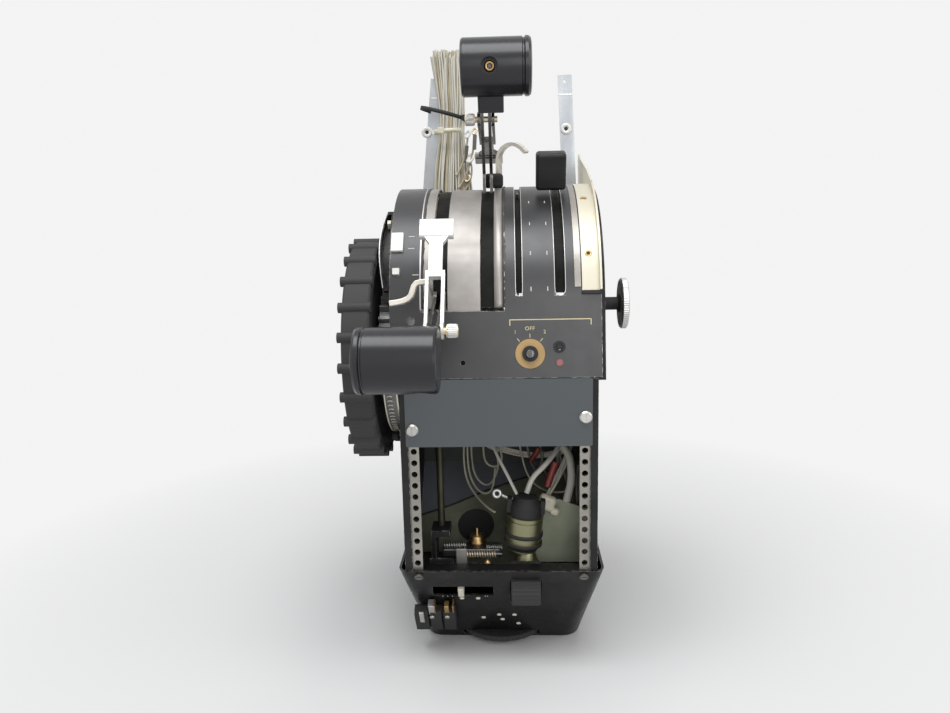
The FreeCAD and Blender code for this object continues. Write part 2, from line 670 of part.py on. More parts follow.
def grip(word, side, arm_x, grip_shift, frame, neck_foot):
    radius = d.grip_dia / 2
    length = d.grip_length
    barrel = turned([(0, 0), (radius - 2, 0), (radius - 0.6, 0.6), (radius, 2), (radius, length - 7.6),
                     (radius - 0.9, length - 7), (radius - 0.9, length - 6), (radius + 0.4, length - 5),
                     (radius + 0.4, length - 2.6), (radius - 1, length - 0.7), (radius - 4, length),
                     (0, length)])
    start = arm_x + grip_shift - side * length / 2
    move(barrel, start, -d.grip_reach, 0, Rotation(Vector(0, 1, 0), 90 * side))
    centre = arm_x + side * d.neck_shift
    neck = box((centre - d.neck_width / 2, centre + d.neck_width / 2),
               (-d.grip_reach + radius - 5, -neck_foot), (-d.neck_depth / 2, d.neck_depth / 2))
    spread = d.arm_gap / 2 + d.arm_wall + 0.1
    half = d.arm_depth / 2 - 3 + 0.1
    pocket = box((arm_x - spread, arm_x + spread), (-neck_foot - 9.1, -neck_foot + 1), (-half, half))
    hole = rod("z", centre, 0, -40, d.grip_hole / 2, 28)
    tilt = Placement(Vector(0, -d.grip_reach.value, 0), Rotation(Vector(1, 0, 0), -d.arm_bend.value))
    sub_part(f"{word}_throttle_grip",
             set_at(cut(fuse(barrel, soften(neck, 1.5, "y")), pocket, set_at(group(hole), tilt)), frame))


def toggle(word, side, arm_x, elbow):
    spread = d.arm_gap / 2 + d.arm_wall + d.side_gap
    leg = spread + 2.4
    turn = Rotation(Vector(1, 0, 0), -d.toggle_angle.value)
    frame = elbow.multiply(Placement(Vector(0, -d.toggle_pivot.value, 0), turn))
    pieces = []
    for low, high in ((-leg, -spread), (spread, leg)):
        xs = (arm_x + low, arm_x + high)
        pieces.append(box(xs, (-d.fork_reach, 0), (-2.8, 2.8)))
        pieces.append(rod("x", xs[0], 0, 0, 6, 2.4))
    half = d.toggle_width / 2
    bar_foot = d.toggle_length - 8
    pieces.append(box((arm_x - half, arm_x + half), (-bar_foot, -d.fork_reach), (-2.2, 2.2)))
    pieces.append(box((arm_x - leg, arm_x + leg), (-d.fork_reach - 5, -d.fork_reach), (-2.8, 2.8)))
    wide = d.toggle_bar / 2
    flare = prism("XY_Plane", [(-half, 0), (half, 0), (half + 4, -6), (-half - 4, -6)], 4.4)
    pieces.append(move(flare, arm_x, -bar_foot + 6, -2.2))
    bar = soften(box((arm_x - wide, arm_x + wide), (-bar_foot - 16, -bar_foot), (-2.2, 4)), 1.8, "x")
    pieces.append(bar)
    eye = rod("x", arm_x - leg - 1, 0, 0, d.pin_dia / 2 + 0.02, leg * 2 + 2)
    sub_part(f"{word}_reverser_lever", set_at(cut(fuse(*pieces), eye), frame))
    start = arm_x - 9.5 if side < 0 else arm_x - 17.5
    shank = rod("x", start, 0, 0, d.pin_dia / 2, 27)
    head = rod("x", arm_x + 9.2 if side < 0 else arm_x - 17.2, 0, 0, 4.6, 8)
    sub_part(f"{word}_reverser_pin", set_at(fuse(shank, head), frame))


def latch(word, side, arm_x, lever):
    """The finger latch slides along the arm; its cane-shaped hook reaches outboard below the grip."""
    wall = d.latch_wall
    bend = d.latch_bend
    sweep = number(d.latch_sweep)
    slice_angle = doc.addObject("Part::Cylinder", "HookSlice")
    bind(slice_angle, "Radius", bend)
    bind(slice_angle, "Height", 6)
    bind(slice_angle, "Angle", d.latch_sweep)
    tip = set_at(group(soften(box((bend - wall, bend), (-0.5, 6), (0, 6)), 0.9, "z")),
                 Placement(Vector(), Rotation(Vector(0, 0, 1), sweep)))
    curl = fuse(cut(slice_angle, rod("z", 0, 0, -1, bend - wall, 8)), tip)
    stem = box((bend - wall, bend), (84 - d.latch_reach, 0.5), (0, 6))
    hook = fuse(curl, stem)
    inboard = Rotation(Vector(-side, 0, 0), Vector(0, -1, 0), Vector(0, 0, side), "XYZ")
    set_at(hook, Placement(Vector(side * number(bend - wall / 2), 0, -3 * side), inboard))
    lean = Rotation(Vector(0, 1, 0), side * number(d.latch_tilt))
    middle = side * (d.latch_shift + wall / 2) + arm_x
    hook = set_at(group(hook), Placement(Vector(number(middle), -number(d.latch_reach),
                                                number(d.latch_lift)), lean))
    near = arm_x + side * (d.arm_gap / 2 + d.arm_wall + d.side_gap)
    far = arm_x + side * (d.latch_shift + wall)
    ends = (far, near) if side < 0 else (near, far)
    foot = box(ends, (-100, -82), (-2, d.latch_lift + 3))
    sub_part(f"{word}_finger_latch", set_at(fuse(hook, foot), lever))


# ---------------------------------------------------------------- flap lever and indicators
def flap_group():
    lever = swing(d.flap_angle)
    plate = d.flap_plate
    xs = (d.flap_x - plate / 2, d.flap_x + plate / 2)
    arm = fuse(box(xs, (-d.flap_reach - 10, 0), (-4, 4)), rod("x", xs[0], 0, 0, 14, plate))
    bore = rod("x", xs[0] - 1, 0, 0, d.shaft_dia / 2 + d.run_gap, plate + 2)
    sub_part("flap_lever", set_at(cut(arm, bore), lever))
    half = d.paddle_width / 2
    deep = d.paddle_depth / 2
    foot = d.flap_reach
    middle = d.flap_x - d.paddle_shift
    paddle = soften(box((middle - half, middle + half), (-foot - d.paddle_height, -foot),
                        (-deep, deep)), 3)
    socket = box((xs[0] - 0.1, xs[1] + 0.1), (-foot - 10.1, -foot + 1), (-4.1, 4.1))
    sub_part("flap_paddle", set_at(cut(paddle, socket), lever))
    needle = fuse(box((d.pointer_x - 1, d.pointer_x + 1), (-d.drum_radius - 0.4, 0), (-2, 2)),
                  rod("x", d.pointer_x - 1, 0, 0, 12, 2))
    bore = rod("x", d.pointer_x - 2, 0, 0, d.shaft_dia / 2 + d.run_gap, 4)
    sub_part("flap_pointer", set_at(cut(needle, bore), lever))


def edge_trim():
    """Curved finishing strip and primed closing rib along the right edge of the drum."""
    radius = d.drum_radius + 1.4
    rib = arc_plate((d.cover_right - 15, d.cover_right), radius, 1.4, 14.5, 112)
    wall = arc_plate((d.cover_right - 1.6, d.cover_right), radius + 5, 6.4, 14.5, 132)
    screws = d.cover_right - 9.5
    holes = [set_at(group(rod("y", screws, -radius - 4, 0, 1.4, 12)), swing(angle)) for angle in (30, 62)]
    sub_part("closing_rib", cut(fuse(rib, wall), *holes))


# ---------------------------------------------------------------- elevator trim
def elevator_trim():
    y, z = -d.wheel_forward, d.wheel_high
    radius = d.wheel_radius
    inner, width = d.wheel_inner, d.wheel_width
    axle = d.axle_dia / 2
    bore = axle + d.run_gap
    wheel = turned([(bore, 0), (20, 0), (24, 4), (radius - 14, 5), (radius - 9, 1), (radius, 1),
                    (radius + 1, 2.4), (radius + 1, width - 0.4), (radius, width + 1),
                    (radius - 9, width + 1), (radius - 12, width - 3), (24, 12), (20, width - 1),
                    (bore, width - 1)])
    move(wheel, 1 - inner, y, z, Rotation(Vector(0, 1, 0), -90))
    ribs = []
    for turn in range(int(d.wheel_ribs.value)):
        angle = math.radians(360 * turn / d.wheel_ribs.value)
        ribs.append(rod("x", -inner - width - 2.7, y + (radius - 0.6) * math.cos(angle),
                        z + (radius - 0.6) * math.sin(angle), d.rib_radius, width + 3.9))
    sub_part("elevator_trim_wheel", fuse(wheel, *ribs))
    cheek = d.bay_width / 2 + d.cheek_wall
    stub = fuse(rod("x", -inner - width - 1, y, z, axle, inner + width + 1 - d.bay_width / 2),
                rod("x", -inner - width - 4, y, z, axle + 4, 3))
    sub_part("trim_wheel_axle", stub)
    thick = inner - 1 - cheek - 1.2
    teeth = d.sprocket_teeth
    root = d.sprocket_radius - 4
    blank = rod("x", 1 - inner, y, z, root, thick)
    tooth = math.tan(math.radians(90 / teeth.value))
    points = [(root * 0.97, root * -1.3 * tooth), (d.sprocket_radius, -1), (d.sprocket_radius, 1),
              (root * 0.97, root * 1.3 * tooth)]
    cogs = []
    for index in range(int(teeth.value)):
        cog = prism("YZ_Plane", points, thick)
        turn = Rotation(Vector(1, 0, 0), 360 * index / teeth.value)
        cogs.append(move(cog, 1 - inner, y, z, turn))
    sub_part("trim_sprocket", cut(fuse(blank, *cogs), rod("x", -inner, y, z, bore, thick + 3)))
    guard_low = d.bay_width / 2
    guard = doc.addObject("Part::Cylinder", "GuardSlice")
    bind(guard, "Radius", d.guard_radius)
    bind(guard, "Height", 11)
    guard.Angle = 92
    facing = Rotation(Vector(0, -1, 0), Vector(0, 0, -1), Vector(1, 0, 0), "XYZ")
    move(guard, -guard_low - 11, y, z, Rotation(Vector(1, 0, 0), 16).multiply(facing))
    hollow = rod("x", -guard_low - 12, y, z, d.guard_radius - 4, 10.4)
    core = rod("x", -guard_low - 12, y, z, d.sprocket_radius + 4, 14)
    high = box((-guard_low - 13, -guard_low + 1), (-150, 60), (d.cheek_low - 1, z + 90))
    sub_part("chain_guard", cut(guard, hollow, core, high))
    trim_scale(cheek)


def trim_scale(cheek):
    """A crescent-shaped trough against the cheek, with the trim pointer in its groove."""
    outer = d.wheel_inner - 1.7
    under = d.drum_radius - d.cover_wall
    halfway = (d.channel_low + d.channel_high) / 2
    chord = under * sine((d.channel_high - d.channel_low) / 2)
    swell = (outer - cheek) * 0.45
    curve = (chord * chord + swell * swell) / (swell * 2)
    bulge = set_at(group(rod("y", curve - outer, -under - 20, 0, curve, 60)), swing(halfway))
    channel = common(arc_plate((-outer, -cheek), under, 11, d.channel_low, d.channel_high), bulge)
    inner = set_at(group(rod("y", curve - outer, -under - 20, 0, curve - 1.4, 60)), swing(halfway))
    groove = common(arc_plate((-outer, -cheek - 1.2), under + 1, 8, d.channel_low + 2,
                              d.channel_high - 2), inner)
    sub_part("trim_scale_housing", cut(channel, groove))
    pointer = box((-cheek - 4.4, -cheek - 1.5), (-under + 0.6, -under + 6.5), (-2, 2))
    sub_part("trim_pointer", set_at(group(pointer), swing(d.trim_angle)))


# ---------------------------------------------------------------- small controls of the faces
def face_controls():
    face = face_frame()
    x, high = d.selector_x, along_face(d.selector_high)
    ring = tube("y", x, -0.8, high, 11.5, 5.2, 0.8)
    sub_part("selector_dial", set_at(group(ring), face))
    case = fuse(tube("y", x, d.cover_wall, high, 11, 3.06, 14), tube("y", x, -0.8, high, 5.1, 3.06, 4),
                tube("y", x, -3.4, high, 6.2, 3.06, 2.6))
    sub_part("selector_switch", set_at(group(case), face))
    shaft = cut(rod("y", x, -8, high, 3, 20), box((x + 1.8, x + 4), (-9, -4), (high - 4, high + 4)))
    sub_part("selector_shaft", set_at(group(shaft), face))
    x = d.lamp_x
    high = along_face(d.lamp_high)
    bezel = fuse(tube("y", x, -1.4, high, 4.6, 2.5, 1.4), tube("y", x, 0, high, 3.5, 2.5, 9))
    sub_part("test_lamp_bezel", set_at(group(bezel), face))
    sub_part("test_lamp_cap", set_at(group(rod("y", x, -2, high, 2.2, 9)), face))
    high = along_face(d.light_high)
    light = fuse(rod("y", x, 0, high, 2, 8), rod("y", x, -0.9, high, 2.6, 0.9))
    sub_part("warning_light", set_at(group(light), face))
    radius = d.drum_radius
    side = d.bay_width / 2
    cap = box((-side - 3.2, -side + 2.2), (-radius - 2, -radius + 6), (-2.6, 2.6))
    sub_part("side_button", set_at(group(soften(cap, 0.6, "y")), swing(23.6)))
    block = soften(box((-side - 5, -side + 4.5), (-radius - 2.2, -radius + 0.4), (-8.5, 8.5)), 0.8, "y")
    base = rod("x", -side - 6, 0, 0, radius + 0.02, 12)
    seat = set_at(group(cut(block, base)), swing(37))
    sub_part("side_marker_block", seat)


def friction_knob():
    y, z = -d.knob_forward, d.knob_high
    radius = d.knob_dia / 2
    width = d.knob_width
    knob = turned([(0, 0), (7, 0), (7, 2), (radius - 3, 2), (radius - 2, 0), (radius - 0.8, 0),
                   (radius, 0.8), (radius, width - 0.8), (radius - 0.8, width), (0, width)])
    start = d.bay_width / 2 - 4
    shaft = rod("x", start, y, z, d.knob_shaft / 2, d.knob_inner + 1 - start)
    sub_part("friction_knob", fuse(move(knob, d.knob_inner, y, z, ALONG["x"]), shaft))


# ---------------------------------------------------------------- rudder and aileron trim
def lower_trim():
    frame = housing_frame()
    x = d.roller_x
    v = -d.roller_drop
    depth = d.roller_depth
    half = d.roller_width / 2
    screw = 1.6
    roller = fuse(rod("x", x - half, depth, v, d.roller_radius, d.roller_width),
                  rod("x", -64.9, depth, v, screw, 116.8))
    sub_part("rudder_trim_roller", set_at(group(roller), frame))
    low = d.housing_base_width / 2 + 1.2
    high = d.housing_base_width / 2 + 8.4
    back = move(prism("XZ_Plane", [(-low, -97), (low, -97), (high, -44), (-high, -44)], 2), 0, 29, 0)
    ear = [(2.3, -56), (28, -56), (28, -44), (14, v + 5), (2.3, v + 5)]
    ears = [cut(move(prism("YZ_Plane", ear, 3), ear_x, 0, 0),
                rod("x", ear_x - 1, depth, v, screw + d.run_gap, 5)) for ear_x in (-65, 49)]
    sub_part("trim_mounting_plate", set_at(fuse(back, *ears), frame))
    carriage = cut(box((-36.6, -31.8), (-1.6, 11.5), (v - 6.4, v + 6.4)),
                   rod("x", -38, depth, v, screw + d.run_gap, 8))
    sub_part("rudder_trim_pointer", set_at(group(carriage), frame))
    radius = d.aileron_radius
    wall = d.aileron_wall
    wheel = turned([(4.06, 0), (radius - 1, 0), (radius, 1), (radius, wall - 1), (radius - 1, wall),
                    (radius - 8, wall), (radius - 9, wall - 1.5), (14, wall - 1.5), (12, wall),
                    (4.06, wall)])
    flutes = [rod("z", (radius + 0.9) * math.cos(turn * math.pi / 24),
                  (radius + 0.9) * math.sin(turn * math.pi / 24), -1, 1.6, 8) for turn in range(48)]
    wheel = cut(wheel, group(*flutes))
    sub_part("aileron_trim_wheel", move(wheel, d.aileron_x, -d.aileron_y, d.base_wall + 0.5))
    block = soften(box((-75, -40), (-10, 0), (-80, -50)), 3, "x")
    channels = [box((edge, edge + 2), (-11, -6), (-81, -49)) for edge in (-63.5, -52)]
    sub_part("terminal_block", set_at(cut(block, *channels), frame))


# ---------------------------------------------------------------- inside the bay
def bay_contents():
    inside = d.bay_width / 2 - d.sheet_wall
    bracket = prism("XZ_Plane", [(24, 74), (inside, 74), (inside, 122), (50, 132), (24, 128)], 2)
    ear = box((inside - 2, inside), (-66, -50), (74, 122))
    sub_part("primed_bracket", fuse(move(bracket, 0, -66, 0), ear))
    tilt = Placement(Vector(17, -86.5, 82), Rotation(Vector(0, 1, 0), 5))
    plug = fuse(rod("z", 0, 0, 12, 10, 2), rod("z", 0, 0, 14, 12.5, 4), rod("z", 0, 0, 18, 15.3, 26))
    grooves = [tube("z", 0, 0, height, 16, 14.5, 1.6) for height in (22, 40)]
    sub_part("connector_plug", set_at(cut(plug, *grooves), tilt))
    shell = fuse(rod("z", 0, 0, 44, 13.5, 8.2), cone("z", 0, 0, 52.2, 13.5, 9, 8),
                 box((-16, -12), (-4, 4), (46, 58)), box((12, 16), (-4, 4), (46, 58)))
    sub_part("connector_backshell", set_at(shell, tilt))
    sub_part("trim_conduit", rod("z", -52, -70, 110, 3, 132))
    mount = fuse(box((-60, -44), (-84, -62), (104, 110)), box((-60, -56), (-84, -62), (80, 104)),
                 box((-inside, -40), (-100, -62), (78, 81)), box((-60, -40), (-100, -98), (81, 92)))
    sub_part("trim_gear_bracket", mount)


def harness():
    """Leads that the frame holds along their whole route."""
    bay_leads = [
        ([(-66, 30, 199), (-66, 18, 199), (-52, 2, 196), (-20, -22, 192), (12, -30, 187), (40, -40, 184),
          (60, -56, 172), (62, -66, 150), (57, -67, 130)], 3.4),
        ([(22, -84, 143.6), (27, -80, 156), (40, -72, 166), (52, -55, 176), (56, -30, 190), (50, 0, 205),
          (46, 19, 210), (46, 30, 210)], 2.2),
        ([(14, -86, 143.4), (6, -78, 158), (-6, -60, 176), (-14, -30, 200), (-12, 0, 214),
          (-8, 19, 216), (-8, 30, 216)], 1.3),
    ]
    sub_part("bay_harness", group(*[wire(points, radius) for points, radius in bay_leads]))
    base = [(-46, 58), (-36, 60), (-27, 64), (-40, 68), (-30, 72), (-50, 66)]
    leads = []
    for index, (x, y) in enumerate(base):
        lean = -0.35 * (index - 2.5)
        leads.append(wire([(x + 12, y + 8, 248), (x + 12, y + 8, 270), (x + 8 + lean, y + 8, 330),
                           (x + 2, y + 3, 396), (x - 2 * lean, y, 462), (x + 4 + 3 * lean, y, 530)], 4.1))
    sub_part("rear_wire_bundle", group(*leads))


def rear_struts():
    half = d.bay_width / 2
    wall = d.sheet_wall
    y = d.strut_y
    bend_high = 362
    for side, word, top_shift in ((-1, "left", 15), (1, "right", 6)):
        outer, inner = side * half, side * (half - d.strut_width)
        low, high = (outer, inner) if side < 0 else (inner, outer)
        leg = box((low, high), (y, y + wall), (270, bend_high))
        edge = side * (half - wall)
        low_web, high_web = (outer, edge) if side < 0 else (edge, outer)
        web = box((low_web, high_web), (y, y + 16), (270, bend_high))
        height = d.strut_high - bend_high
        shift = -side * top_shift
        points = [(low, 0), (high, 0), (high + shift, height), (low + shift, height)]
        upper = move(prism("XZ_Plane", points, wall), 0, y + wall, bend_high)
        top_x = side * (half - d.strut_width / 2) - side * top_shift
        holes = [rod("y", top_x, y - 1, d.strut_high - 6, 1.6, 5),
                 rod("y", top_x + side * top_shift * 0.35, y - 1, 455, 2.2, 5)]
        sub_part(f"rear_strut_{word}", cut(fuse(leg, web, upper), *holes))


# ---------------------------------------------------------------- build, check and write
def check():
    faults = [f"{obj.Label}: {obj.State}" for obj in doc.Objects
              if "Invalid" in obj.State or "Error" in obj.State]
    faults += [f"{obj.Label}: shape" for obj in sub_parts if obj.Shape.isNull() or not obj.Shape.isValid()]
    faults += [f"{obj.Label}: no solid" for obj in sub_parts if not obj.Shape.Solids]
    if faults:
        sys.exit("failed: " + "; ".join(faults))


def export():
    os.makedirs("parts", exist_ok=True)
    for obj in sub_parts:
        obj.Shape.exportStep(f"parts/{obj.Label}.step")
    print(len(sub_parts), "sub-parts written")


doc = FreeCAD.newDocument("throttle_quadrant")
sub_parts = []
d = make_sheet()
trim_housing()
bay()
blank_panel()
quadrant_cover()
drum_inside()
throttle("left", -1, d.left_arm_x, d.left_angle, d.left_grip_shift)
throttle("right", 1, d.right_arm_x, d.right_angle, d.right_grip_shift)
flap_group()
edge_trim()
elevator_trim()
face_controls()
friction_knob()
lower_trim()
bay_contents()
harness()
rear_struts()
doc.recompute()
check()
export()
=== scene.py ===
"""Looks of the throttle quadrant: camera, light, surface finishes and the fine detail on the CAD parts.

Everything is in metres in the part's frame: +X to the right, +Y away from the crew, +Z up.
"""
import json
import math
import random

import bpy
from mathutils import Matrix, Vector


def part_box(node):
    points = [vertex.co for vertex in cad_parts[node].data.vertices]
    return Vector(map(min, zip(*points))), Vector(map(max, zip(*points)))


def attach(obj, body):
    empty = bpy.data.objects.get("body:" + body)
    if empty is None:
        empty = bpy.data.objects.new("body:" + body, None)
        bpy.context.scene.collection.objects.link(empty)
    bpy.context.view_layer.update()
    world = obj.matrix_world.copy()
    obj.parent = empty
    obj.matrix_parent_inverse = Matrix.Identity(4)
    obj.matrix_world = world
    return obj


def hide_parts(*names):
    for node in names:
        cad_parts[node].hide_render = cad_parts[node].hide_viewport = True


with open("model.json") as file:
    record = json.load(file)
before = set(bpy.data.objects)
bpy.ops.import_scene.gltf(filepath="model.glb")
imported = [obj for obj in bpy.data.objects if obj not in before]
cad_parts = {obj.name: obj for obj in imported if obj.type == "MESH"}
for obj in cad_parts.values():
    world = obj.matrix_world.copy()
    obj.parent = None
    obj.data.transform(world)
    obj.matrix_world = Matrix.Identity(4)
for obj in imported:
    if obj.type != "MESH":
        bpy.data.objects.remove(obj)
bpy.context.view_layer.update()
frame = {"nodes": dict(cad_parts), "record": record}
MM = 0.001
ACROSS = Vector((1, 0, 0))
SHAFT = Vector((0, 0, 0.290))
# The throttles as they are stored: degrees from level, and the arm's and the grip's reach
LEFT_THROTTLE, RIGHT_THROTTLE = 11, 84.5
ARM_REACH, GRIP_REACH, ELBOW_BEND = 0.118, 0.0993, math.radians(27.6)
# What the eye sees round the part, and how thick printed marks are
BACKDROP = (0.9, 0.9, 0.9, 1)
INK = 0.00003
# Turn from one lead of the round bundle to the next, in radians
GOLDEN_ANGLE = 2.39996


# ---------------------------------------------------------------- camera, floor and light
def turned_axes(down, yaw, roll):
    """Right, up and forward of a camera that looks along +Y before it is turned."""
    turn = Matrix.Rotation(yaw, 3, "Z")
    right = turn @ Vector((1, 0, 0))
    up = turn @ Vector((0, math.sin(down), math.cos(down)))
    forward = turn @ Vector((0, math.cos(down), -math.sin(down)))
    return (math.cos(roll) * right + math.sin(roll) * up,
            math.cos(roll) * up - math.sin(roll) * right, forward)


def make_camera():
    """Camera that sees the frame as the photo does."""
    right, up, forward = turned_axes(math.radians(10.815), math.radians(2.623), math.radians(-1.267))
    data = bpy.data.cameras.new("camera")
    data.sensor_width = 36
    data.lens = 30.316
    camera = bpy.data.objects.new("camera", data)
    bpy.context.collection.objects.link(camera)
    rows = Matrix((right, up, -forward)).transposed()
    camera.matrix_world = Matrix.Translation((0.01056, -0.72812, 0.38513)) @ rows.to_4x4()
    bpy.context.scene.camera = camera


def area_light(name, place, target, size, power, tint=(1, 1, 1)):
    """Rectangular lamp at a place, turned towards a target."""
    data = bpy.data.lights.new(name, "AREA")
    data.shape = "RECTANGLE"
    data.size, data.size_y = size
    data.energy = power
    data.color = tint
    lamp = bpy.data.objects.new(name, data)
    lamp.location = place
    lamp.rotation_euler = (Vector(target) - Vector(place)).to_track_quat("-Z", "Y").to_euler()
    bpy.context.collection.objects.link(lamp)


def seen_by_eye(nodes, links):
    """1 for the rays that look: straight from the camera, mirrored or through glass."""
    path = nodes.new("ShaderNodeLightPath")
    value = path.outputs["Is Camera Ray"]
    for kind in ("Is Glossy Ray", "Is Transmission Ray"):
        either = nodes.new("ShaderNodeMath")
        either.operation = "MAXIMUM"
        links.new(value, either.inputs[0])
        links.new(path.outputs[kind], either.inputs[1])
        value = either.outputs[0]
    return value


def make_floor():
    """Matt paper that keeps the part's shadow and fades to the backdrop further out."""
    nodes, links, _ = new_material("floor_paper")
    output = next(n for n in nodes if n.type == "OUTPUT_MATERIAL")
    paper = nodes.new("ShaderNodeBsdfDiffuse")
    paper.inputs["Color"].default_value = (0.8, 0.8, 0.8, 1)
    pale = nodes.new("ShaderNodeEmission")
    pale.inputs["Color"].default_value = BACKDROP
    place = nodes.new("ShaderNodeTexCoord")
    reach = nodes.new("ShaderNodeVectorMath")
    reach.operation = "LENGTH"
    links.new(place.outputs["Object"], reach.inputs[0])
    fade = nodes.new("ShaderNodeMath")
    fade.operation = "MULTIPLY"
    links.new(ramp(nodes, links, reach.outputs["Value"], 0.16, 0.62), fade.inputs[0])
    links.new(seen_by_eye(nodes, links), fade.inputs[1])
    blend = nodes.new("ShaderNodeMixShader")
    links.new(fade.outputs[0], blend.inputs[0])
    links.new(paper.outputs[0], blend.inputs[1])
    links.new(pale.outputs[0], blend.inputs[2])
    links.new(blend.outputs[0], output.inputs[0])
    bpy.ops.mesh.primitive_plane_add(size=6, location=(0, 0, -0.0005))
    floor = bpy.context.object
    floor.name = "floor"
    floor.data.materials.append(bpy.data.materials["floor_paper"])


def make_world():
    """A dim even sky that lights the part, shown to the eye as the pale backdrop."""
    world = bpy.data.worlds.new("world")
    bpy.context.scene.world = world
    world.use_nodes = True
    nodes, links = world.node_tree.nodes, world.node_tree.links
    back = nodes["Background"]
    back.inputs["Color"].default_value = (0.9, 0.9, 0.91, 1)
    back.inputs["Strength"].default_value = 0.4
    white = nodes.new("ShaderNodeBackground")
    white.inputs["Color"].default_value = BACKDROP
    blend = nodes.new("ShaderNodeMixShader")
    links.new(seen_by_eye(nodes, links), blend.inputs[0])
    links.new(back.outputs[0], blend.inputs[1])
    links.new(white.outputs[0], blend.inputs[2])
    links.new(blend.outputs[0], nodes["World Output"].inputs[0])


def make_stage():
    """Floor, sky and the three lamps."""
    bpy.context.scene.view_settings.view_transform = "Standard"
    make_floor()
    make_world()
    area_light("ceiling", (-0.15, -0.45, 1.55), (0, -0.05, 0.35), (1.3, 0.8), 16, (0.98, 0.99, 1.0))
    area_light("front", (0.5, -1.6, 0.75), (0, 0, 0.25), (1.0, 0.8), 6)
    area_light("right", (1.3, -0.2, 0.9), (0, 0, 0.3), (0.7, 1.0), 3.5)


# ---------------------------------------------------------------- materials
def new_material(name):
    material = bpy.data.materials.new(name)
    material.use_nodes = True
    tree = material.node_tree
    return tree.nodes, tree.links, tree.nodes["Principled BSDF"]


def noise(nodes, links, scale, stretch=(1, 1, 1), detail=3.0, rough=0.5):
    """Noise over the object's own coordinates, as a value from 0 to 1."""
    place = nodes.new("ShaderNodeTexCoord")
    fit = nodes.new("ShaderNodeMapping")
    fit.inputs["Scale"].default_value = stretch
    texture = nodes.new("ShaderNodeTexNoise")
    texture.inputs["Scale"].default_value = scale
    texture.inputs["Detail"].default_value = detail
    texture.inputs["Roughness"].default_value = rough
    links.new(place.outputs["Object"], fit.inputs["Vector"])
    links.new(fit.outputs[0], texture.inputs["Vector"])
    return texture.outputs["Fac"]


def ramp(nodes, links, value, low, high, low_out=0.0, high_out=1.0):
    """A value spread from one range to another and held at its ends."""
    node = nodes.new("ShaderNodeMapRange")
    node.inputs["From Min"].default_value = low
    node.inputs["From Max"].default_value = high
    node.inputs["To Min"].default_value = low_out
    node.inputs["To Max"].default_value = high_out
    links.new(value, node.inputs["Value"])
    return node.outputs[0]


def mixed(nodes, links, share, first, second):
    """Blend of two colours or links."""
    node = nodes.new("ShaderNodeMix")
    node.data_type = "RGBA"
    links.new(share, node.inputs["Factor"])
    for socket, colour in ((node.inputs[6], first), (node.inputs[7], second)):
        if isinstance(colour, tuple):
            socket.default_value = (*colour, 1)
        else:
            links.new(colour, socket)
    return node.outputs[2]


def worn_edges(nodes, links, radius):
    """1 along sharp edges, 0 on open faces."""
    bevel = nodes.new("ShaderNodeBevel")
    bevel.samples = 4
    bevel.inputs["Radius"].default_value = radius
    normal = nodes.new("ShaderNodeNewGeometry")
    dot = nodes.new("ShaderNodeVectorMath")
    dot.operation = "DOT_PRODUCT"
    links.new(bevel.outputs[0], dot.inputs[0])
    links.new(normal.outputs["Normal"], dot.inputs[1])
    return ramp(nodes, links, dot.outputs["Value"], 0.99, 0.86)


def bump(nodes, links, shader, height, strength, distance):
    """Relief that a height gives to a shader."""
    node = nodes.new("ShaderNodeBump")
    node.inputs["Strength"].default_value = strength
    node.inputs["Distance"].default_value = distance
    links.new(height, node.inputs["Height"])
    links.new(node.outputs[0], shader.inputs["Normal"])


def finish(name, colour, rough, metal=0.0, patchy=0.25, grain=900, depth=0.00004, worn=None,
           wear=0.0006, stretch=(1, 1, 1), coat=0.0, smear=0.08, shine=0.5, above=None):
    """A painted, plated or moulded surface: uneven tone, fine grain and edges rubbed to another colour."""
    nodes, links, shader = new_material(name)
    shader.inputs["Metallic"].default_value = metal
    shader.inputs["Coat Weight"].default_value = coat
    shader.inputs["Specular IOR Level"].default_value = shine
    clouds = noise(nodes, links, 38, detail=4)
    light = tuple(min(1, c * (1 + patchy) + 0.01 * patchy) for c in colour)
    dark = tuple(c * (1 - patchy) for c in colour)
    tone = mixed(nodes, links, ramp(nodes, links, clouds, 0.35, 0.65), dark, light)
    fine = noise(nodes, links, grain, stretch, detail=2)
    rubbed = noise(nodes, links, 90, stretch, detail=3)
    gloss = ramp(nodes, links, rubbed, 0.3, 0.7, max(0.05, rough - smear), min(1, rough + smear))
    links.new(gloss, shader.inputs["Roughness"])
    if above:
        place = nodes.new("ShaderNodeTexCoord")
        slope = nodes.new("ShaderNodeVectorMath")
        slope.operation = "DOT_PRODUCT"
        slope.inputs[1].default_value = (-0.2745, 0, 1)
        links.new(place.outputs["Object"], slope.inputs[0])
        tone = mixed(nodes, links, ramp(nodes, links, slope.outputs["Value"], 0.1155, 0.1170), tone, above)
    if worn:
        edge = worn_edges(nodes, links, wear)
        speckle = ramp(nodes, links, noise(nodes, links, 260), 0.42, 0.6)
        both = nodes.new("ShaderNodeMath")
        both.operation = "MULTIPLY"
        links.new(edge, both.inputs[0])
        links.new(speckle, both.inputs[1])
        tone = mixed(nodes, links, both.outputs[0], tone, worn)
    links.new(tone, shader.inputs["Base Color"])
    bump(nodes, links, shader, fine, 0.35, depth)
    return bpy.data.materials[name]


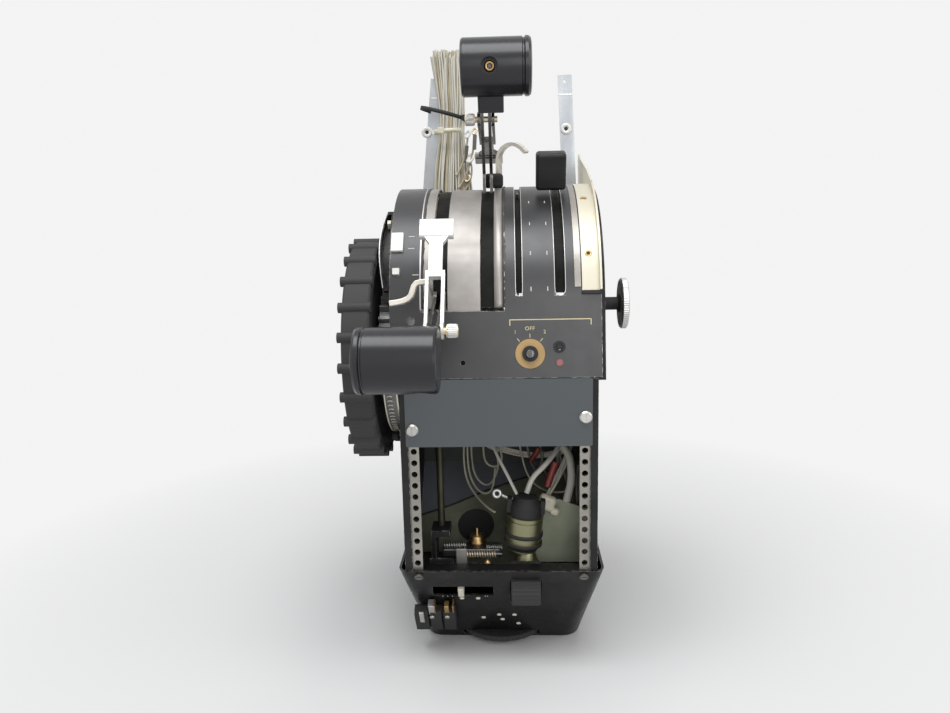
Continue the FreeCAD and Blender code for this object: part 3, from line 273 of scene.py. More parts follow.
BARE = (0.62, 0.61, 0.58)
FINISHES = {
    "slate_paint": dict(colour=(0.064, 0.064, 0.066), rough=0.36, metal=0.6, patchy=0.05, smear=0.03,
                        worn=BARE),
    "black_paint": dict(colour=(0.009, 0.009, 0.009), rough=0.33, patchy=0.3, shine=0.2,
                        worn=(0.24, 0.22, 0.19)),
    "panel_paint": dict(colour=(0.022, 0.021, 0.0195), rough=0.5, patchy=0.1, shine=0.15, worn=BARE),
    "frame_paint": dict(colour=(0.017, 0.017, 0.017), rough=0.45, patchy=0.25, shine=0.25, worn=BARE),
    "inner_paint": dict(colour=(0.15, 0.16, 0.18), rough=0.55, patchy=0.2, worn=(0.3, 0.3, 0.26)),
    "olive_inner": dict(colour=(0.20, 0.21, 0.15), rough=0.5, patchy=0.2, above=(0.15, 0.16, 0.18),
                        worn=(0.3, 0.3, 0.26)),
    "bare_aluminium": dict(colour=(0.56, 0.56, 0.55), rough=0.36, metal=1.0, patchy=0.1, grain=400,
                           stretch=(1, 1, 0.06), depth=0.00002),
    "rail_aluminium": dict(colour=(0.33, 0.31, 0.28), rough=0.4, metal=0.8, patchy=0.15, grain=400,
                           stretch=(1, 1, 0.06), depth=0.00002, worn=(0.6, 0.58, 0.52)),
    "strut_aluminium": dict(colour=(0.44, 0.46, 0.48), rough=0.42, metal=0.7, patchy=0.1, grain=300,
                            stretch=(1, 1, 0.05), depth=0.00002),
    "shield_steel": dict(colour=(0.36, 0.34, 0.32), rough=0.48, metal=0.7, patchy=0.14, grain=500,
                         stretch=(0.06, 1, 1), depth=0.00002),
    "lever_steel": dict(colour=(0.13, 0.125, 0.115), rough=0.28, metal=1.0, patchy=0.3, grain=500,
                        worn=(0.7, 0.68, 0.64)),
    # Partly painted light: aluminium, made near-white for the light that falls on the upturned top of the
    # left reverser lever.
    "bright_lever": dict(colour=(0.74, 0.73, 0.70), rough=0.4, metal=0.35, patchy=0.06, grain=500),
    "zinc": dict(colour=(0.56, 0.55, 0.52), rough=0.36, metal=1.0, patchy=0.2),
    "dull_screw": dict(colour=(0.17, 0.17, 0.15), rough=0.5, metal=0.6, patchy=0.3),
    "pin_plating": dict(colour=(0.74, 0.62, 0.44), rough=0.36, metal=0.6, patchy=0.2),
    "latch_paint": dict(colour=(0.72, 0.68, 0.6), rough=0.4, metal=0.5, patchy=0.15, worn=(0.4, 0.36, 0.3)),
    "dark_steel": dict(colour=(0.13, 0.13, 0.13), rough=0.4, metal=0.9, patchy=0.3, worn=BARE),
    "grip_plastic": dict(colour=(0.005, 0.005, 0.005), rough=0.12, patchy=0.3, shine=0.4,
                         worn=(0.09, 0.08, 0.07), depth=0.000006),
    "paddle_plastic": dict(colour=(0.008, 0.008, 0.009), rough=0.38, shine=0.3, patchy=0.3,
                           worn=(0.1, 0.1, 0.09)),
    "wheel_plastic": dict(colour=(0.016, 0.0155, 0.015), rough=0.34, shine=0.35, patchy=0.25,
                          worn=(0.16, 0.15, 0.14)),
    "black_plastic": dict(colour=(0.009, 0.009, 0.009), rough=0.4, shine=0.25, patchy=0.3),
    "cream_paint": dict(colour=(0.80, 0.73, 0.60), rough=0.42, patchy=0.07, worn=(0.5, 0.4, 0.28)),
    "cream_part": dict(colour=(0.72, 0.68, 0.56), rough=0.5, patchy=0.15, worn=(0.4, 0.33, 0.22)),
    "white_plastic": dict(colour=(0.85, 0.85, 0.8), rough=0.35, patchy=0.05),
    "tan_dial": dict(colour=(0.46, 0.30, 0.12), rough=0.5, patchy=0.12),
    "red_lens": dict(colour=(0.24, 0.015, 0.015), rough=0.25, patchy=0.1, coat=0.5),
    "olive_plating": dict(colour=(0.10, 0.072, 0.042), rough=0.42, metal=0.4, patchy=0.3, grain=500),
    "dark_olive": dict(colour=(0.06, 0.055, 0.035), rough=0.4, metal=0.5, patchy=0.3, worn=(0.3, 0.27, 0.2)),
    "primer": dict(colour=(0.42, 0.45, 0.33), rough=0.55, patchy=0.15, worn=BARE),
    "wire_jacket": dict(colour=(0.74, 0.69, 0.54), rough=0.42, patchy=0.12),
    "tan_jacket": dict(colour=(0.54, 0.47, 0.33), rough=0.45, patchy=0.2),
    "bay_lead": dict(colour=(0.42, 0.40, 0.31), rough=0.42, patchy=0.2),
    "white_lead": dict(colour=(0.66, 0.63, 0.54), rough=0.4, patchy=0.12),
    "grey_lead": dict(colour=(0.16, 0.155, 0.13), rough=0.45, patchy=0.2),
    "red_sleeve": dict(colour=(0.20, 0.03, 0.022), rough=0.4, patchy=0.2),
    "brass": dict(colour=(0.50, 0.33, 0.15), rough=0.35, metal=1.0, patchy=0.2),
    "gold_ink": dict(colour=(0.72, 0.62, 0.36), rough=0.6, patchy=0.08),
    "pale_ink": dict(colour=(0.66, 0.66, 0.62), rough=0.6, patchy=0.08),
    "clear_nylon": dict(colour=(0.78, 0.74, 0.58), rough=0.3, patchy=0.05),
    # slot_brush: near-black painted shade for the dark inside of the lever slots and of the selector face's
    # hole.
    "slot_brush": dict(colour=(0.006, 0.006, 0.005), rough=0.45, shine=0.1, patchy=0.5,
                       worn=(0.3, 0.28, 0.22)),
    "gasket": dict(colour=(0.05, 0.045, 0.04), rough=0.6, patchy=0.5, worn=(0.5, 0.48, 0.44)),
}
NODE_FINISH = {
    "slate_paint": ["quadrant_cover"],
    "black_paint": ["trim_housing", "base_plate", "trim_mounting_plate", "drum_cheek_left",
                    "drum_cheek_right", "trim_scale_housing"],
    "panel_paint": ["blank_panel"],
    "frame_paint": ["bay_side_left", "bay_side_right", "rear_deck", "upper_deck", "trim_gear_bracket"],
    "inner_paint": ["bay_back_panel"],
    "olive_inner": ["sloping_shelf"],
    "rail_aluminium": ["equipment_rails"],
    "strut_aluminium": ["rear_strut_left", "rear_strut_right"],
    "shield_steel": ["lever_slot_shield"],
    "lever_steel": ["left_throttle_arm", "right_throttle_arm", "right_reverser_lever", "flap_lever",
                    "flap_pointer"],
    "bright_lever": ["left_reverser_lever"],
    "latch_paint": ["left_finger_latch", "right_finger_latch"],
    "pin_plating": ["left_reverser_pin", "right_reverser_pin"],
    "dull_screw": ["housing_screws"],
    "zinc": ["panel_studs", "lever_shaft", "trim_wheel_axle", "friction_knob"],
    "dark_steel": ["trim_sprocket", "chain_guard", "selector_shaft"],
    "grip_plastic": ["left_throttle_grip", "right_throttle_grip"],
    "paddle_plastic": ["flap_paddle"],
    "wheel_plastic": ["elevator_trim_wheel", "aileron_trim_wheel", "rudder_trim_roller"],
    "black_plastic": ["selector_switch", "connector_backshell", "test_lamp_bezel", "test_lamp_cap",
                      "terminal_block"],
    "cream_paint": ["closing_rib"],
    "cream_part": ["trim_pointer", "rudder_trim_pointer"],
    "white_plastic": ["side_button", "side_marker_block"],
    "tan_dial": ["selector_dial"],
    "red_lens": ["warning_light"],
    "olive_plating": ["connector_plug"],
    "dark_olive": ["trim_conduit"],
    "primer": ["primed_bracket"],
    "wire_jacket": ["bay_harness", "rear_wire_bundle"],
}


def paint_nodes():
    """Give every CAD node its finish."""
    for name, names in NODE_FINISH.items():
        for node in names:
            mesh = frame["nodes"][node].data
            mesh.materials.clear()
            mesh.materials.append(bpy.data.materials[name])


# ---------------------------------------------------------------- piece builders
def add_mesh(name, body, vertices, faces, material, smooth=False):
    """A scene piece made from points and faces, riding with a body."""
    mesh = bpy.data.meshes.new(name)
    mesh.from_pydata([tuple(v) for v in vertices], [], faces)
    mesh.update()
    obj = bpy.data.objects.new(name, mesh)
    bpy.context.collection.objects.link(obj)
    mesh.materials.append(bpy.data.materials[material])
    if smooth:
        mesh.shade_smooth()
    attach(obj, body)
    return obj


def millimetres(*points):
    """Points given in millimetres, as metres."""
    return [tuple(value * MM for value in point) for point in points]


def frame_at(origin, x_axis, y_axis):
    """Matrix whose X and Y axes point along the given directions."""
    x_axis, y_axis = Vector(x_axis).normalized(), Vector(y_axis).normalized()
    rows = Matrix((x_axis, y_axis, x_axis.cross(y_axis))).transposed()
    return Matrix.Translation(origin) @ rows.to_4x4()


def lathe(name, body, place, profile, material, steps=40, crest=0.0):
    """Turns (radius, height) corners about the place's Z axis; crest raises every second step."""
    vertices, faces = [], []
    for step in range(steps):
        angle = math.tau * step / steps
        for radius, height in profile:
            reach = radius + (crest if step % 2 else 0.0) * (radius > 0)
            vertices.append(place @ Vector((reach * math.cos(angle), reach * math.sin(angle), height)))
    count = len(profile)
    for step in range(steps):
        here, there = step * count, (step + 1) % steps * count
        for row in range(count - 1):
            faces.append((here + row, there + row, there + row + 1, here + row + 1))
    return add_mesh(name, body, vertices, faces, material, smooth=crest == 0.0)


def slab(name, body, place, size, material, bevel=0.0):
    """A box centred on a place, with rounded edges if asked for."""
    x, y, z = (length / 2 for length in size)
    corners = [place @ Vector((a * x, b * y, c * z)) for a in (-1, 1) for b in (-1, 1) for c in (-1, 1)]
    faces = [(0, 1, 3, 2), (4, 6, 7, 5), (0, 4, 5, 1), (2, 3, 7, 6), (0, 2, 6, 4), (1, 5, 7, 3)]
    obj = add_mesh(name, body, corners, faces, material)
    if bevel:
        round_edges = obj.modifiers.new("round", "BEVEL")
        round_edges.width = bevel
        round_edges.segments = 3
    return obj


def cable(name, body, routes, radius, material, resolution=3):
    """Thin leads, each a smooth curve through its points."""
    curve = bpy.data.curves.new(name, "CURVE")
    curve.dimensions = "3D"
    curve.bevel_depth = radius
    curve.bevel_resolution = resolution
    curve.use_fill_caps = True
    for route in routes:
        spline = curve.splines.new("NURBS")
        spline.points.add(len(route) - 1)
        for point, place in zip(spline.points, route):
            point.co = (*place, 1)
        spline.order_u = 4 if len(route) > 3 else 3
        spline.use_endpoint_u = True
    obj = bpy.data.objects.new(name, curve)
    bpy.context.collection.objects.link(obj)
    curve.materials.append(bpy.data.materials[material])
    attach(obj, body)
    return obj


def drum_point(x, angle, radius):
    """A point on the quadrant drum: angle in degrees from level and aft, up over the top."""
    turn = math.radians(angle)
    return Vector((x, -radius * math.cos(turn), SHAFT.z + radius * math.sin(turn)))


def drum_strip(name, left, right, low, high, radius, thick, material, waves=0.0, steps=48):
    """A strip laid on the drum between two widths and two angles."""
    rng = random.Random(7)
    vertices, faces = [], []
    for step in range(steps + 1):
        angle = low + (high - low) * step / steps
        sway = waves * rng.uniform(-1, 1)
        for x, rise in ((left, 0), (left, thick), (right + sway, thick + abs(sway) * 0.6), (right + sway, 0)):
            vertices.append(drum_point(x, angle, radius + rise))
    for step in range(steps):
        here, there = step * 4, step * 4 + 4
        faces += [(here + row, here + (row + 1) % 4, there + (row + 1) % 4, there + row)
                  for row in range(4)]
    faces += [(3, 2, 1, 0), tuple(steps * 4 + row for row in range(4))]
    return add_mesh(name, "root", vertices, faces, material, smooth=waves > 0)


# ---------------------------------------------------------------- places taken from the CAD nodes
def middle(node):
    """Centre of a CAD node's box."""
    low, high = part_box(node)
    return (Vector(low) + Vector(high)) / 2


cover_high = Vector(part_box("quadrant_cover")[1])
DRUM = cover_high.z - SHAFT.z
LEAN = math.radians(11)
FACE_TOP = Vector((0, -DRUM * math.cos(LEAN), SHAFT.z + DRUM * math.sin(LEAN)))
FACE_UP = Vector((0, math.sin(LEAN), math.cos(LEAN)))
FACE_OUT = Vector((0, -math.cos(LEAN), math.sin(LEAN)))


def face_place(x, z, lift=0.0):
    """A place on the selector face, X to the right, Y up the face and Z out of it."""
    along = (z - FACE_TOP.z) / FACE_UP.z
    origin = FACE_TOP + FACE_UP * along + FACE_OUT * lift + ACROSS * x
    return frame_at(origin, ACROSS, FACE_UP)


housing_low, housing_high = (Vector(corner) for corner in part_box("trim_housing"))
PANEL_TOP = Vector((0, housing_low.y, housing_high.z))
PANEL_UP = (PANEL_TOP - Vector((0, -0.062, 0))).normalized()
PANEL_OUT = ACROSS.cross(PANEL_UP)


def panel_place(x, v, lift=0.0):
    """A place on the trim panel, v down from its upper edge; X right, Y up the panel, Z out of it."""
    origin = PANEL_TOP + PANEL_UP * v + PANEL_OUT * lift + ACROSS * x
    return frame_at(origin, ACROSS, PANEL_UP)


# ---------------------------------------------------------------- markings
def stroke(name, place, start, end, width, material="gold_ink"):
    """A printed line on a flat face, in the place's own X and Y."""
    start, end = Vector((*start, 0)), Vector((*end, 0))
    side = (end - start).normalized().cross(Vector((0, 0, 1))) * width / 2
    corners = [start - side, start + side, end + side, end - side]
    low = [place @ corner for corner in corners]
    high = [place @ (corner + Vector((0, 0, 2 * INK))) for corner in corners]
    faces = [(3, 2, 1, 0), (4, 5, 6, 7)] + [(i, (i + 1) % 4, 4 + (i + 1) % 4, 4 + i) for i in range(4)]
    add_mesh(name, "root", low + high, faces, material)


def lettering(name, place, words, height, material="gold_ink"):
    """Raised ink words, flat on a place."""
    text = bpy.data.curves.new(name, "FONT")
    text.body = words
    text.size = height
    text.extrude = INK
    text.align_x = "CENTER"
    text.align_y = "CENTER"
    text.space_character = 1.1
    obj = bpy.data.objects.new(name, text)
    bpy.context.collection.objects.link(obj)
    obj.matrix_world = place
    text.materials.append(bpy.data.materials[material])
    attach(obj, "root")


def mark_selector():
    """Ticks, words and bracket on the selector face."""
    dial = middle("selector_dial")
    place = face_place(dial.x, dial.z, INK)
    for number, angle in enumerate((50, 90, 130)):
        turn = math.radians(angle)
        direction = Vector((math.cos(turn), math.sin(turn)))
        stroke(f"selector_tick_{number}", place, direction * 0.0125, direction * 0.0155, 0.0005)
    lettering("selector_off", place @ Matrix.Translation((0, 0.0195, INK)), "OFF", 0.0042)
    lettering("selector_on_left", place @ Matrix.Translation((-0.0115, 0.0168, INK)), "1", 0.0040)
    lettering("selector_on_right", place @ Matrix.Translation((0.0115, 0.0168, INK)), "2", 0.0040)
    top, left, right = 0.0265, -0.0155, 0.0475
    stroke("bracket_top", place, (left, top), (right, top), 0.0007)
    for name, x in (("bracket_left", left), ("bracket_right", right)):
        stroke(name, place, (x, top + 0.0003), (x, top - 0.0045), 0.0007)


def mark_drum():
    """Pale marks printed beside the flap and throttle slots."""
    skin = DRUM + 0.00002
    for number, angle in enumerate((14.5, 30, 45, 60)):
        for side, x in (("a", 0.0265), ("b", 0.0395)):
            drum_strip(f"flap_mark_{number}{side}", x, x + 0.0007, angle, angle + 1.8, skin, 0.00005,
                       "pale_ink", steps=4)
    for number, (x, angle) in enumerate(((-0.070, 40), (-0.070, 34), (-0.066, 22), (-0.066, 8))):
        drum_strip(f"throttle_mark_{number}", x, x + 0.005, angle, angle + 0.35, skin, 0.00005,
                   "pale_ink", steps=2)


# ---------------------------------------------------------------- drum detail
def drum_detail():
    """Edge strip, gaskets, lips and rib eyelets on the drum."""
    drum_strip("edge_strip", 0.0608, 0.0655, 16, 111, DRUM, 0.0009, "rail_aluminium")
    drum_strip("right_seal", 0.0052, 0.0068, 8, 100, DRUM - 0.0004, 0.0008, "gasket", waves=0.0008, steps=70)
    drum_strip("left_seal", -0.0592, -0.0572, 8, 100, DRUM - 0.0012, 0.0012, "gasket", waves=0.0004, steps=60)
    for side, x in (("left", -0.060), ("right", 0.006)):
        drum_strip(f"opening_lip_{side}", x - 0.0004, x + 0.0004, 7, 101, DRUM - 0.0006, 0.0008,
                   "bare_aluminium")
    for number, angle in enumerate((30, 62)):
        origin = drum_point(0.072, angle, DRUM + 0.0014)
        out = origin - SHAFT - ACROSS * 0.072
        place = frame_at(origin, ACROSS, out.cross(ACROSS))
        lathe(f"rib_eyelet_{number}", "root", place, [(0.0014, 0), (0.0014, 0.0003), (0.0026, 0.0003),
                                                     (0.0028, 0)], "brass")


def hole_shade():
    """Painted shade: a near-black disc set behind the small open hole in the selector face, in place of the
    shade inside it.
    """
    lathe("panel_hole_shade", "root", face_place(-0.027, 0.263, -0.0024),
          [(0.0001, 0), (0.0028, 0)], "slot_brush", 24)


def slot_shade_liners():
    """Near-black liners under the slots, named seals, that are painted shade for the dark inside of each
    slot, and the shield's own margins beside the throttle arms.
    """
    shade_liners = (("right_arm", -0.0128, -0.0018, 8), ("left_arm", -0.0495, -0.0382, 8),
             ("flap_pointer", 0.0147, 0.0203, 14), ("flap_lever", 0.0452, 0.0538, 14))
    for name, left, right, low in shade_liners:
        drum_strip(f"{name}_seal", left, right, low, 100, DRUM - 0.0045, 0.0012, "slot_brush")
    drum_strip("shield_margin_right", -0.0019, 0.0059, 8, 100.5, DRUM - 0.0016, 0.0011, "shield_steel",
               waves=0.0002, steps=60)
    drum_strip("shield_margin_left", -0.0597, -0.0499, 8, 100.5, DRUM - 0.0016, 0.0011, "shield_steel")


def slot_edges():
    """Bright rubbed edge round each lever slot, with its lower end rounded."""
    routes = []
    bottom = 12.4
    for x, half in ((0.0175, 0.00275), (0.0495, 0.00425)):
        left = [drum_point(x - half, angle, DRUM) for angle in range(100, 15, -6)]
        right = [drum_point(x + half, angle, DRUM) for angle in range(16, 101, 6)]
        bend = [drum_point(x + half * math.sin(math.radians(turn)),
                           bottom + 2.2 * (1 - math.cos(math.radians(turn))), DRUM)
                for turn in (-70, -35, 0, 35, 70)]
        routes.append(left + bend + right)
    cable("slot_edges", "root", routes, 0.00035, "bare_aluminium", 2)
    slab("rib_notch", "root", frame_at(drum_point(0.074, 13.6, DRUM + 0.0016), ACROSS, FACE_UP),
         (0.0155, 0.0024, 0.0032), "black_plastic", 0.0003)


# ---------------------------------------------------------------- wiring behind the drum
def wire_bundle():
    """Thin leads that rise from the deck, pass through two ties and end in loose tips."""
    rng = random.Random(11)
    stations = [(0.250, -0.034, 0.070, 0.019), (0.330, -0.040, 0.070, 0.021),
                (0.395, -0.0430, 0.070, 0.0200), (0.430, -0.0440, 0.074, 0.0150),
                (0.455, -0.0440, 0.078, 0.0112), (0.471, -0.0430, 0.080, 0.0120),
                (0.505, -0.0455, 0.080, 0.0138), (0.5295, -0.0475, 0.078, 0.0145)]
    pale, tan = [], []
    count = 150
    for number in range(count):
        reach = math.sqrt((number + 0.5) / count)
        angle = number * GOLDEN_ANGLE
        route = []
        for row, (z, x, y, spread) in enumerate(stations):
            twist = angle + 0.9 * row / len(stations)
            wobble = rng.uniform(-0.0013, 0.0013)
            end = rng.uniform(-0.008, 0.001) if row == len(stations) - 1 else 0
            route.append((x + spread * reach * math.cos(twist) + wobble,
                          y + spread * 0.6 * reach * math.sin(twist) + wobble * 0.6, z + end))
        (tan if number % 3 == 1 else pale).append(route)
    leads = cable("rear_leads", "root", pale, 0.00078, "wire_jacket", 2)
    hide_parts("rear_wire_bundle")
    cable("rear_leads_tan", "root", tan, 0.00074, "tan_jacket", 2)


def loose_terminals():
    """Ring terminals and splices that lie beside the bundle."""
    for number, (x, z, radius) in enumerate(((-0.028, 0.450, 0.0036), (-0.021, 0.453, 0.0034),
                                             (-0.026, 0.428, 0.0048), (-0.029, 0.409, 0.0036))):
        place = frame_at((x, 0.0630, z), (1, 0, 0.5), (0, 0.35, 1))
        lathe(f"ring_terminal_{number}", "root", place,
              [(radius * 0.45, 0), (radius * 0.45, 0.0011), (radius, 0.0011), (radius, 0),
               (radius * 0.45, 0)], "pin_plating" if number % 2 else "white_plastic", 24)
    routes = [millimetres((-40, 60, 412), (-31, 64, 424), (-29, 63, 440), (-28, 63, 448)),
              millimetres((-38, 60, 400), (-28, 64, 412), (-22, 63, 436), (-21, 63, 450)),
              millimetres((-34, 61, 396), (-26, 65, 404), (-23, 64, 416), (-26, 63, 425)),
              millimetres((-36, 61, 394), (-33, 65, 399), (-30, 64, 404), (-29, 63, 407))]
    cable("loose_leads", "root", routes, 0.0010, "tan_jacket", 2)
    cable("loose_splices", "root", [routes[0][1:3], routes[1][2:]], 0.0019, "grey_lead", 2)


def tie(name, centre, half, height, tilt, material):
    """A flat tie round an upright bundle."""
    steps, thick = 40, 0.0011
    place = Matrix.Translation(centre) @ Matrix.Rotation(tilt, 4, "Y")
    vertices, faces = [], []
    for step in range(steps):
        angle = math.tau * step / steps
        for grow, z in ((0, -1), (thick, -1), (thick, 1), (0, 1)):
            vertices.append(place @ Vector(((half[0] + grow) * math.cos(angle),
                                            (half[1] + grow) * math.sin(angle), z * height / 2)))
    for step in range(steps):
        here, there = step * 4, (step + 1) % steps * 4
        faces += [(here + row, here + (row + 1) % 4, there + (row + 1) % 4, there + row)
                  for row in range(4)]
    add_mesh(name, "root", vertices, faces, material, smooth=True)


def rear_detail():
    """Wire bundle with its ties, and what is fixed to the two struts."""
    wire_bundle()
    loose_terminals()
    tie("black_tie", (-0.0505, 0.070, 0.4705), (0.0225, 0.0155), 0.0036, 0.27, "black_plastic")
    slab("black_tie_lock", "root", Matrix.Translation((-0.0295, 0.060, 0.4650)) @
         Matrix.Rotation(0.27, 4, "Y"), (0.0075, 0.005, 0.0055), "black_plastic", 0.0006)
    tie("clear_tie", (-0.0475, 0.066, 0.4540), (0.0125, 0.0090), 0.0042, -0.05, "clear_nylon")
    slab("clear_tie_lock", "root", Matrix.Translation((-0.0530, 0.0565, 0.4540)), (0.006, 0.005, 0.0055),
         "clear_nylon", 0.0006)
    for side, x in (("left", -0.0688), ("right", 0.0671)):
        low, high = (Vector(corner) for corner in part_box(f"rear_strut_{side}"))
        place = frame_at((x, 0.0820, 0.4548), ACROSS, (0, 0, 1))
        lathe(f"strut_washer_{side}", "root", place, [(0.0019, 0), (0.0019, 0.0009), (0.0052, 0.0009),
                                                      (0.0054, 0)], "white_plastic")
        # Painted shade: a black disc inside each washer in place of the dark hole.
        lathe(f"strut_hole_shade_{side}", "root", place, [(0.0001, 0.0003), (0.0018, 0.0003)], "black_plastic")
        fold = low.x + 0.0075 if side == "right" else high.x - 0.0069
        slab(f"strut_fold_{side}", "root", Matrix.Translation((fold, 0.0819, 0.4868)),
             (0.0130, 0.0004, 0.0016), "bare_aluminium", 0.0001)


# ---------------------------------------------------------------- grips, pins and knobs
def hinge_place(joint):
    """Matrix at a hinge's pivot with Z along its axis."""
    row = next(row for row in frame["record"]["behaviour"]["joints"] if row["name"] == joint)
    axis = Vector(row["axis"])
    side = axis.orthogonal().normalized()
    return frame_at(Vector(row["pos_m"]), side, axis.cross(side))


def control_detail():
    """Knurls on the pins and the knob, and the screws of the grips."""
    for side in ("left", "right"):
        low, high = (Vector(corner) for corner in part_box(f"{side}_reverser_pin"))
        centre = (low + high) / 2
        x = high.x - 0.0002 - 0.008 if side == "left" else low.x + 0.0003
        place = frame_at((x, centre.y, centre.z), (0, 1, 0), (0, 0, 1))
        lathe(f"{side}_pin_knurl", f"{side}_throttle", place,
              [(0.0046, 0.0006), (0.00475, 0.001), (0.00475, 0.0068), (0.0046, 0.0072)], "zinc", 48, 0.0003)
    knob = middle("friction_knob")
    low, high = (Vector(corner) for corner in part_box("friction_knob"))
    place = frame_at((high.x - 0.0055, knob.y, knob.z), (0, 1, 0), (0, 0, 1))
    radius = (high.z - low.z) / 2
    lathe("knob_knurl", "friction", place, [(radius - 0.0004, 0.0006), (radius, 0.0010), (radius, 0.0046),
                                           (radius - 0.0004, 0.0050)], "bare_aluminium", 140, 0.0003)
    lathe("knob_back", "friction", place, [(0.0052, -0.0002), (radius - 0.0022, -0.0002)], "grey_lead")
    lathe("knob_stem", "friction", place, [(0.0053, -0.0155), (0.0053, -0.0002)], "black_plastic")
    lathe("knob_collar", "friction", place, [(0.0053, -0.0020), (0.0078, -0.0004)], "black_plastic")
    for side, angle, x in (("left", LEFT_THROTTLE, -0.0485), ("right", RIGHT_THROTTLE, -0.003)):
        grip_screw(side, angle, x)


def lever_place(angle, x, reach, ahead):
    """A point on a lever: angle of the lever from level, distance from the shaft, then square to it."""
    turn = math.radians(angle)
    return SHAFT + Vector((x, -reach * math.cos(turn) + ahead * math.sin(turn),
                           reach * math.sin(turn) + ahead * math.cos(turn)))


def lever_way(angle):
    """Direction along a lever, away from the shaft."""
    turn = math.radians(angle)
    return Vector((0, -math.cos(turn), math.sin(turn)))


def grip_screw(side, angle, x):
    """Brass screw at the bottom of the recess in the front of the grip."""
    reach = ARM_REACH + GRIP_REACH * math.cos(ELBOW_BEND)
    drop = GRIP_REACH * math.sin(ELBOW_BEND) + 0.0121
    place = frame_at(lever_place(angle, x, reach, -drop), ACROSS, lever_way(angle))
    lathe(f"{side}_grip_screw", f"{side}_throttle", place,
          [(0.0044, 0), (0.0044, 0.0016), (0.0037, 0.0024), (0.0017, 0.0024), (0.0015, 0.0012)],
          "brass", 32)
    lathe(f"{side}_grip_screw_drive", f"{side}_throttle", place, [(0.0001, 0.0012), (0.0016, 0.0012)],
          "dark_steel", 6)


def bar(name, body, points, thick, deep, side, material):
    """A flat bar bent through points: thick in the plane of the bends, deep along the side given."""
    side = Vector(side).normalized()
    vertices, faces = [], []
    for row, point in enumerate(points):
        ahead = points[min(row + 1, len(points) - 1)] - points[max(row - 1, 0)]
        across = side.cross(ahead).normalized() * thick / 2
        for a, b in ((-1, -1), (1, -1), (1, 1), (-1, 1)):
            vertices.append(point + across * a + side * (deep / 2 * b))
    last = len(points) * 4 - 4
    for here in range(0, last, 4):
        faces += [(here + row, here + (row + 1) % 4, here + 4 + (row + 1) % 4, here + 4 + row)
                  for row in range(4)]
    faces += [(3, 2, 1, 0), (last, last + 1, last + 2, last + 3)]
    obj = add_mesh(name, body, vertices, faces, material)
    rounded = obj.modifiers.new("round", "BEVEL")
    rounded.width = 0.0006
    rounded.segments = 2
    return obj


def left_latch():
    """Finger latch of the left throttle: a stem on the arm, a bar outboard, a step down and a hook."""
    def on_arm(x, reach, ahead):
        return lever_place(LEFT_THROTTLE, x, reach, ahead)

    route = [(-0.0498, 12.4), (-0.0560, 12.2), (-0.0592, 11.4), (-0.0610, 9.2), (-0.0622, 5.5),
             (-0.0634, 2.2), (-0.0658, -0.2), (-0.0695, -1.8), (-0.0745, -2.8), (-0.0796, -3.4)]
    points = [on_arm(x, 0.1385, ahead * MM) for x, ahead in route]
    hook = bar("left_latch_hook", "left_latch", points, 0.0042, 0.0066, lever_way(LEFT_THROTTLE),
               "latch_paint")
    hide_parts("left_finger_latch")
    stem = [on_arm(-0.0508, reach, ahead)
            for reach, ahead in ((0.083, 0.004), (0.100, 0.004), (0.118, 0.010), (0.1415, 0.0122))]
    bar("left_latch_stem", "left_latch", stem, 0.0050, 0.0020, ACROSS, "latch_paint")


def arm_gap_shade():
    """Painted shade: a black block at the foot of the right throttle's arm, filling the dark gap between its
    bars.
    """
    place = frame_at(lever_place(RIGHT_THROTTLE, -0.0025, 0.1145, 0.006), ACROSS, lever_way(RIGHT_THROTTLE))
    slab("right_arm_gap_shade", "right_throttle", place, (0.0165, 0.0125, 0.010), "black_plastic", 0.0030)


def rib_crest():
    """Rear of the closing rib: its flange rises behind the drum beside the right strut."""
    right = cover_high.x - 0.0001
    outline = [(-30, 402), (5, 412), (34, 418), (62, 423), (82, 428), (95, 431), (99, 424), (96, 396),
               (79, 377), (60, 389), (30, 400), (0, 405)]
    vertices = [Vector((x, y * MM, z * MM)) for x in (right - 0.0015, right) for y, z in outline]
    count = len(outline)
    faces = [tuple(range(count)), tuple(reversed(range(count, count * 2)))]
    faces += [(row, row + count, (row + 1) % count + count, (row + 1) % count) for row in range(count)]
    add_mesh("rib_crest", "root", vertices, faces, "cream_paint")


def chain_detail():
    """Pale edges and links on the chain run beside the trim wheel."""
    axle = hinge_place("elevator_wheel_turn").translation
    low, high = (Vector(corner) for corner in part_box("chain_guard"))
    radius = 0.0713

    def rim(x, angle, reach=radius):
        turn = math.radians(angle)
        return Vector((x, axle.y - reach * math.cos(turn), axle.z - reach * math.sin(turn)))

    edges = [[rim(x, angle) for angle in range(16, 100, 6)] for x in (low.x + 0.0006, high.x - 0.0004)]
    cable("guard_edges", "root", edges, 0.0006, "cream_part", 2)
    links = []
    for step in range(22):
        angle = 18 + 3.6 * step
        links.append([rim(low.x + 0.0030, angle + 1.3), rim(low.x + 0.0048, angle),
                      rim(low.x + 0.0066, angle + 1.3)])
    cable("chain_links", "root", links, 0.00045, "cream_part", 1)
    for step in range(9):
        place = frame_at(rim(low.x + 0.0012, 62 + 5.5 * step, 0.0765), (0, 1, 0), (0, 0, 1))
        lathe(f"chain_roller_{step}", "root", place,
              [(0.0001, 0), (0.0030, 0), (0.0034, 0.0006), (0.0034, 0.0046), (0.0030, 0.0052),
               (0.0001, 0.0052)],
              "black_plastic", 16)
    trough_middle, trough_half = 36.5, 20.5
    trough = []
    for angle in range(17, 57, 3):
        bulge = math.cos((angle - trough_middle) / trough_half * math.pi / 2)
        trough.append(drum_point(-0.0894 - 0.0040 * bulge, angle, 0.1073))
    cable("trough_edge", "root", [trough], 0.0005, "bare_aluminium", 2)


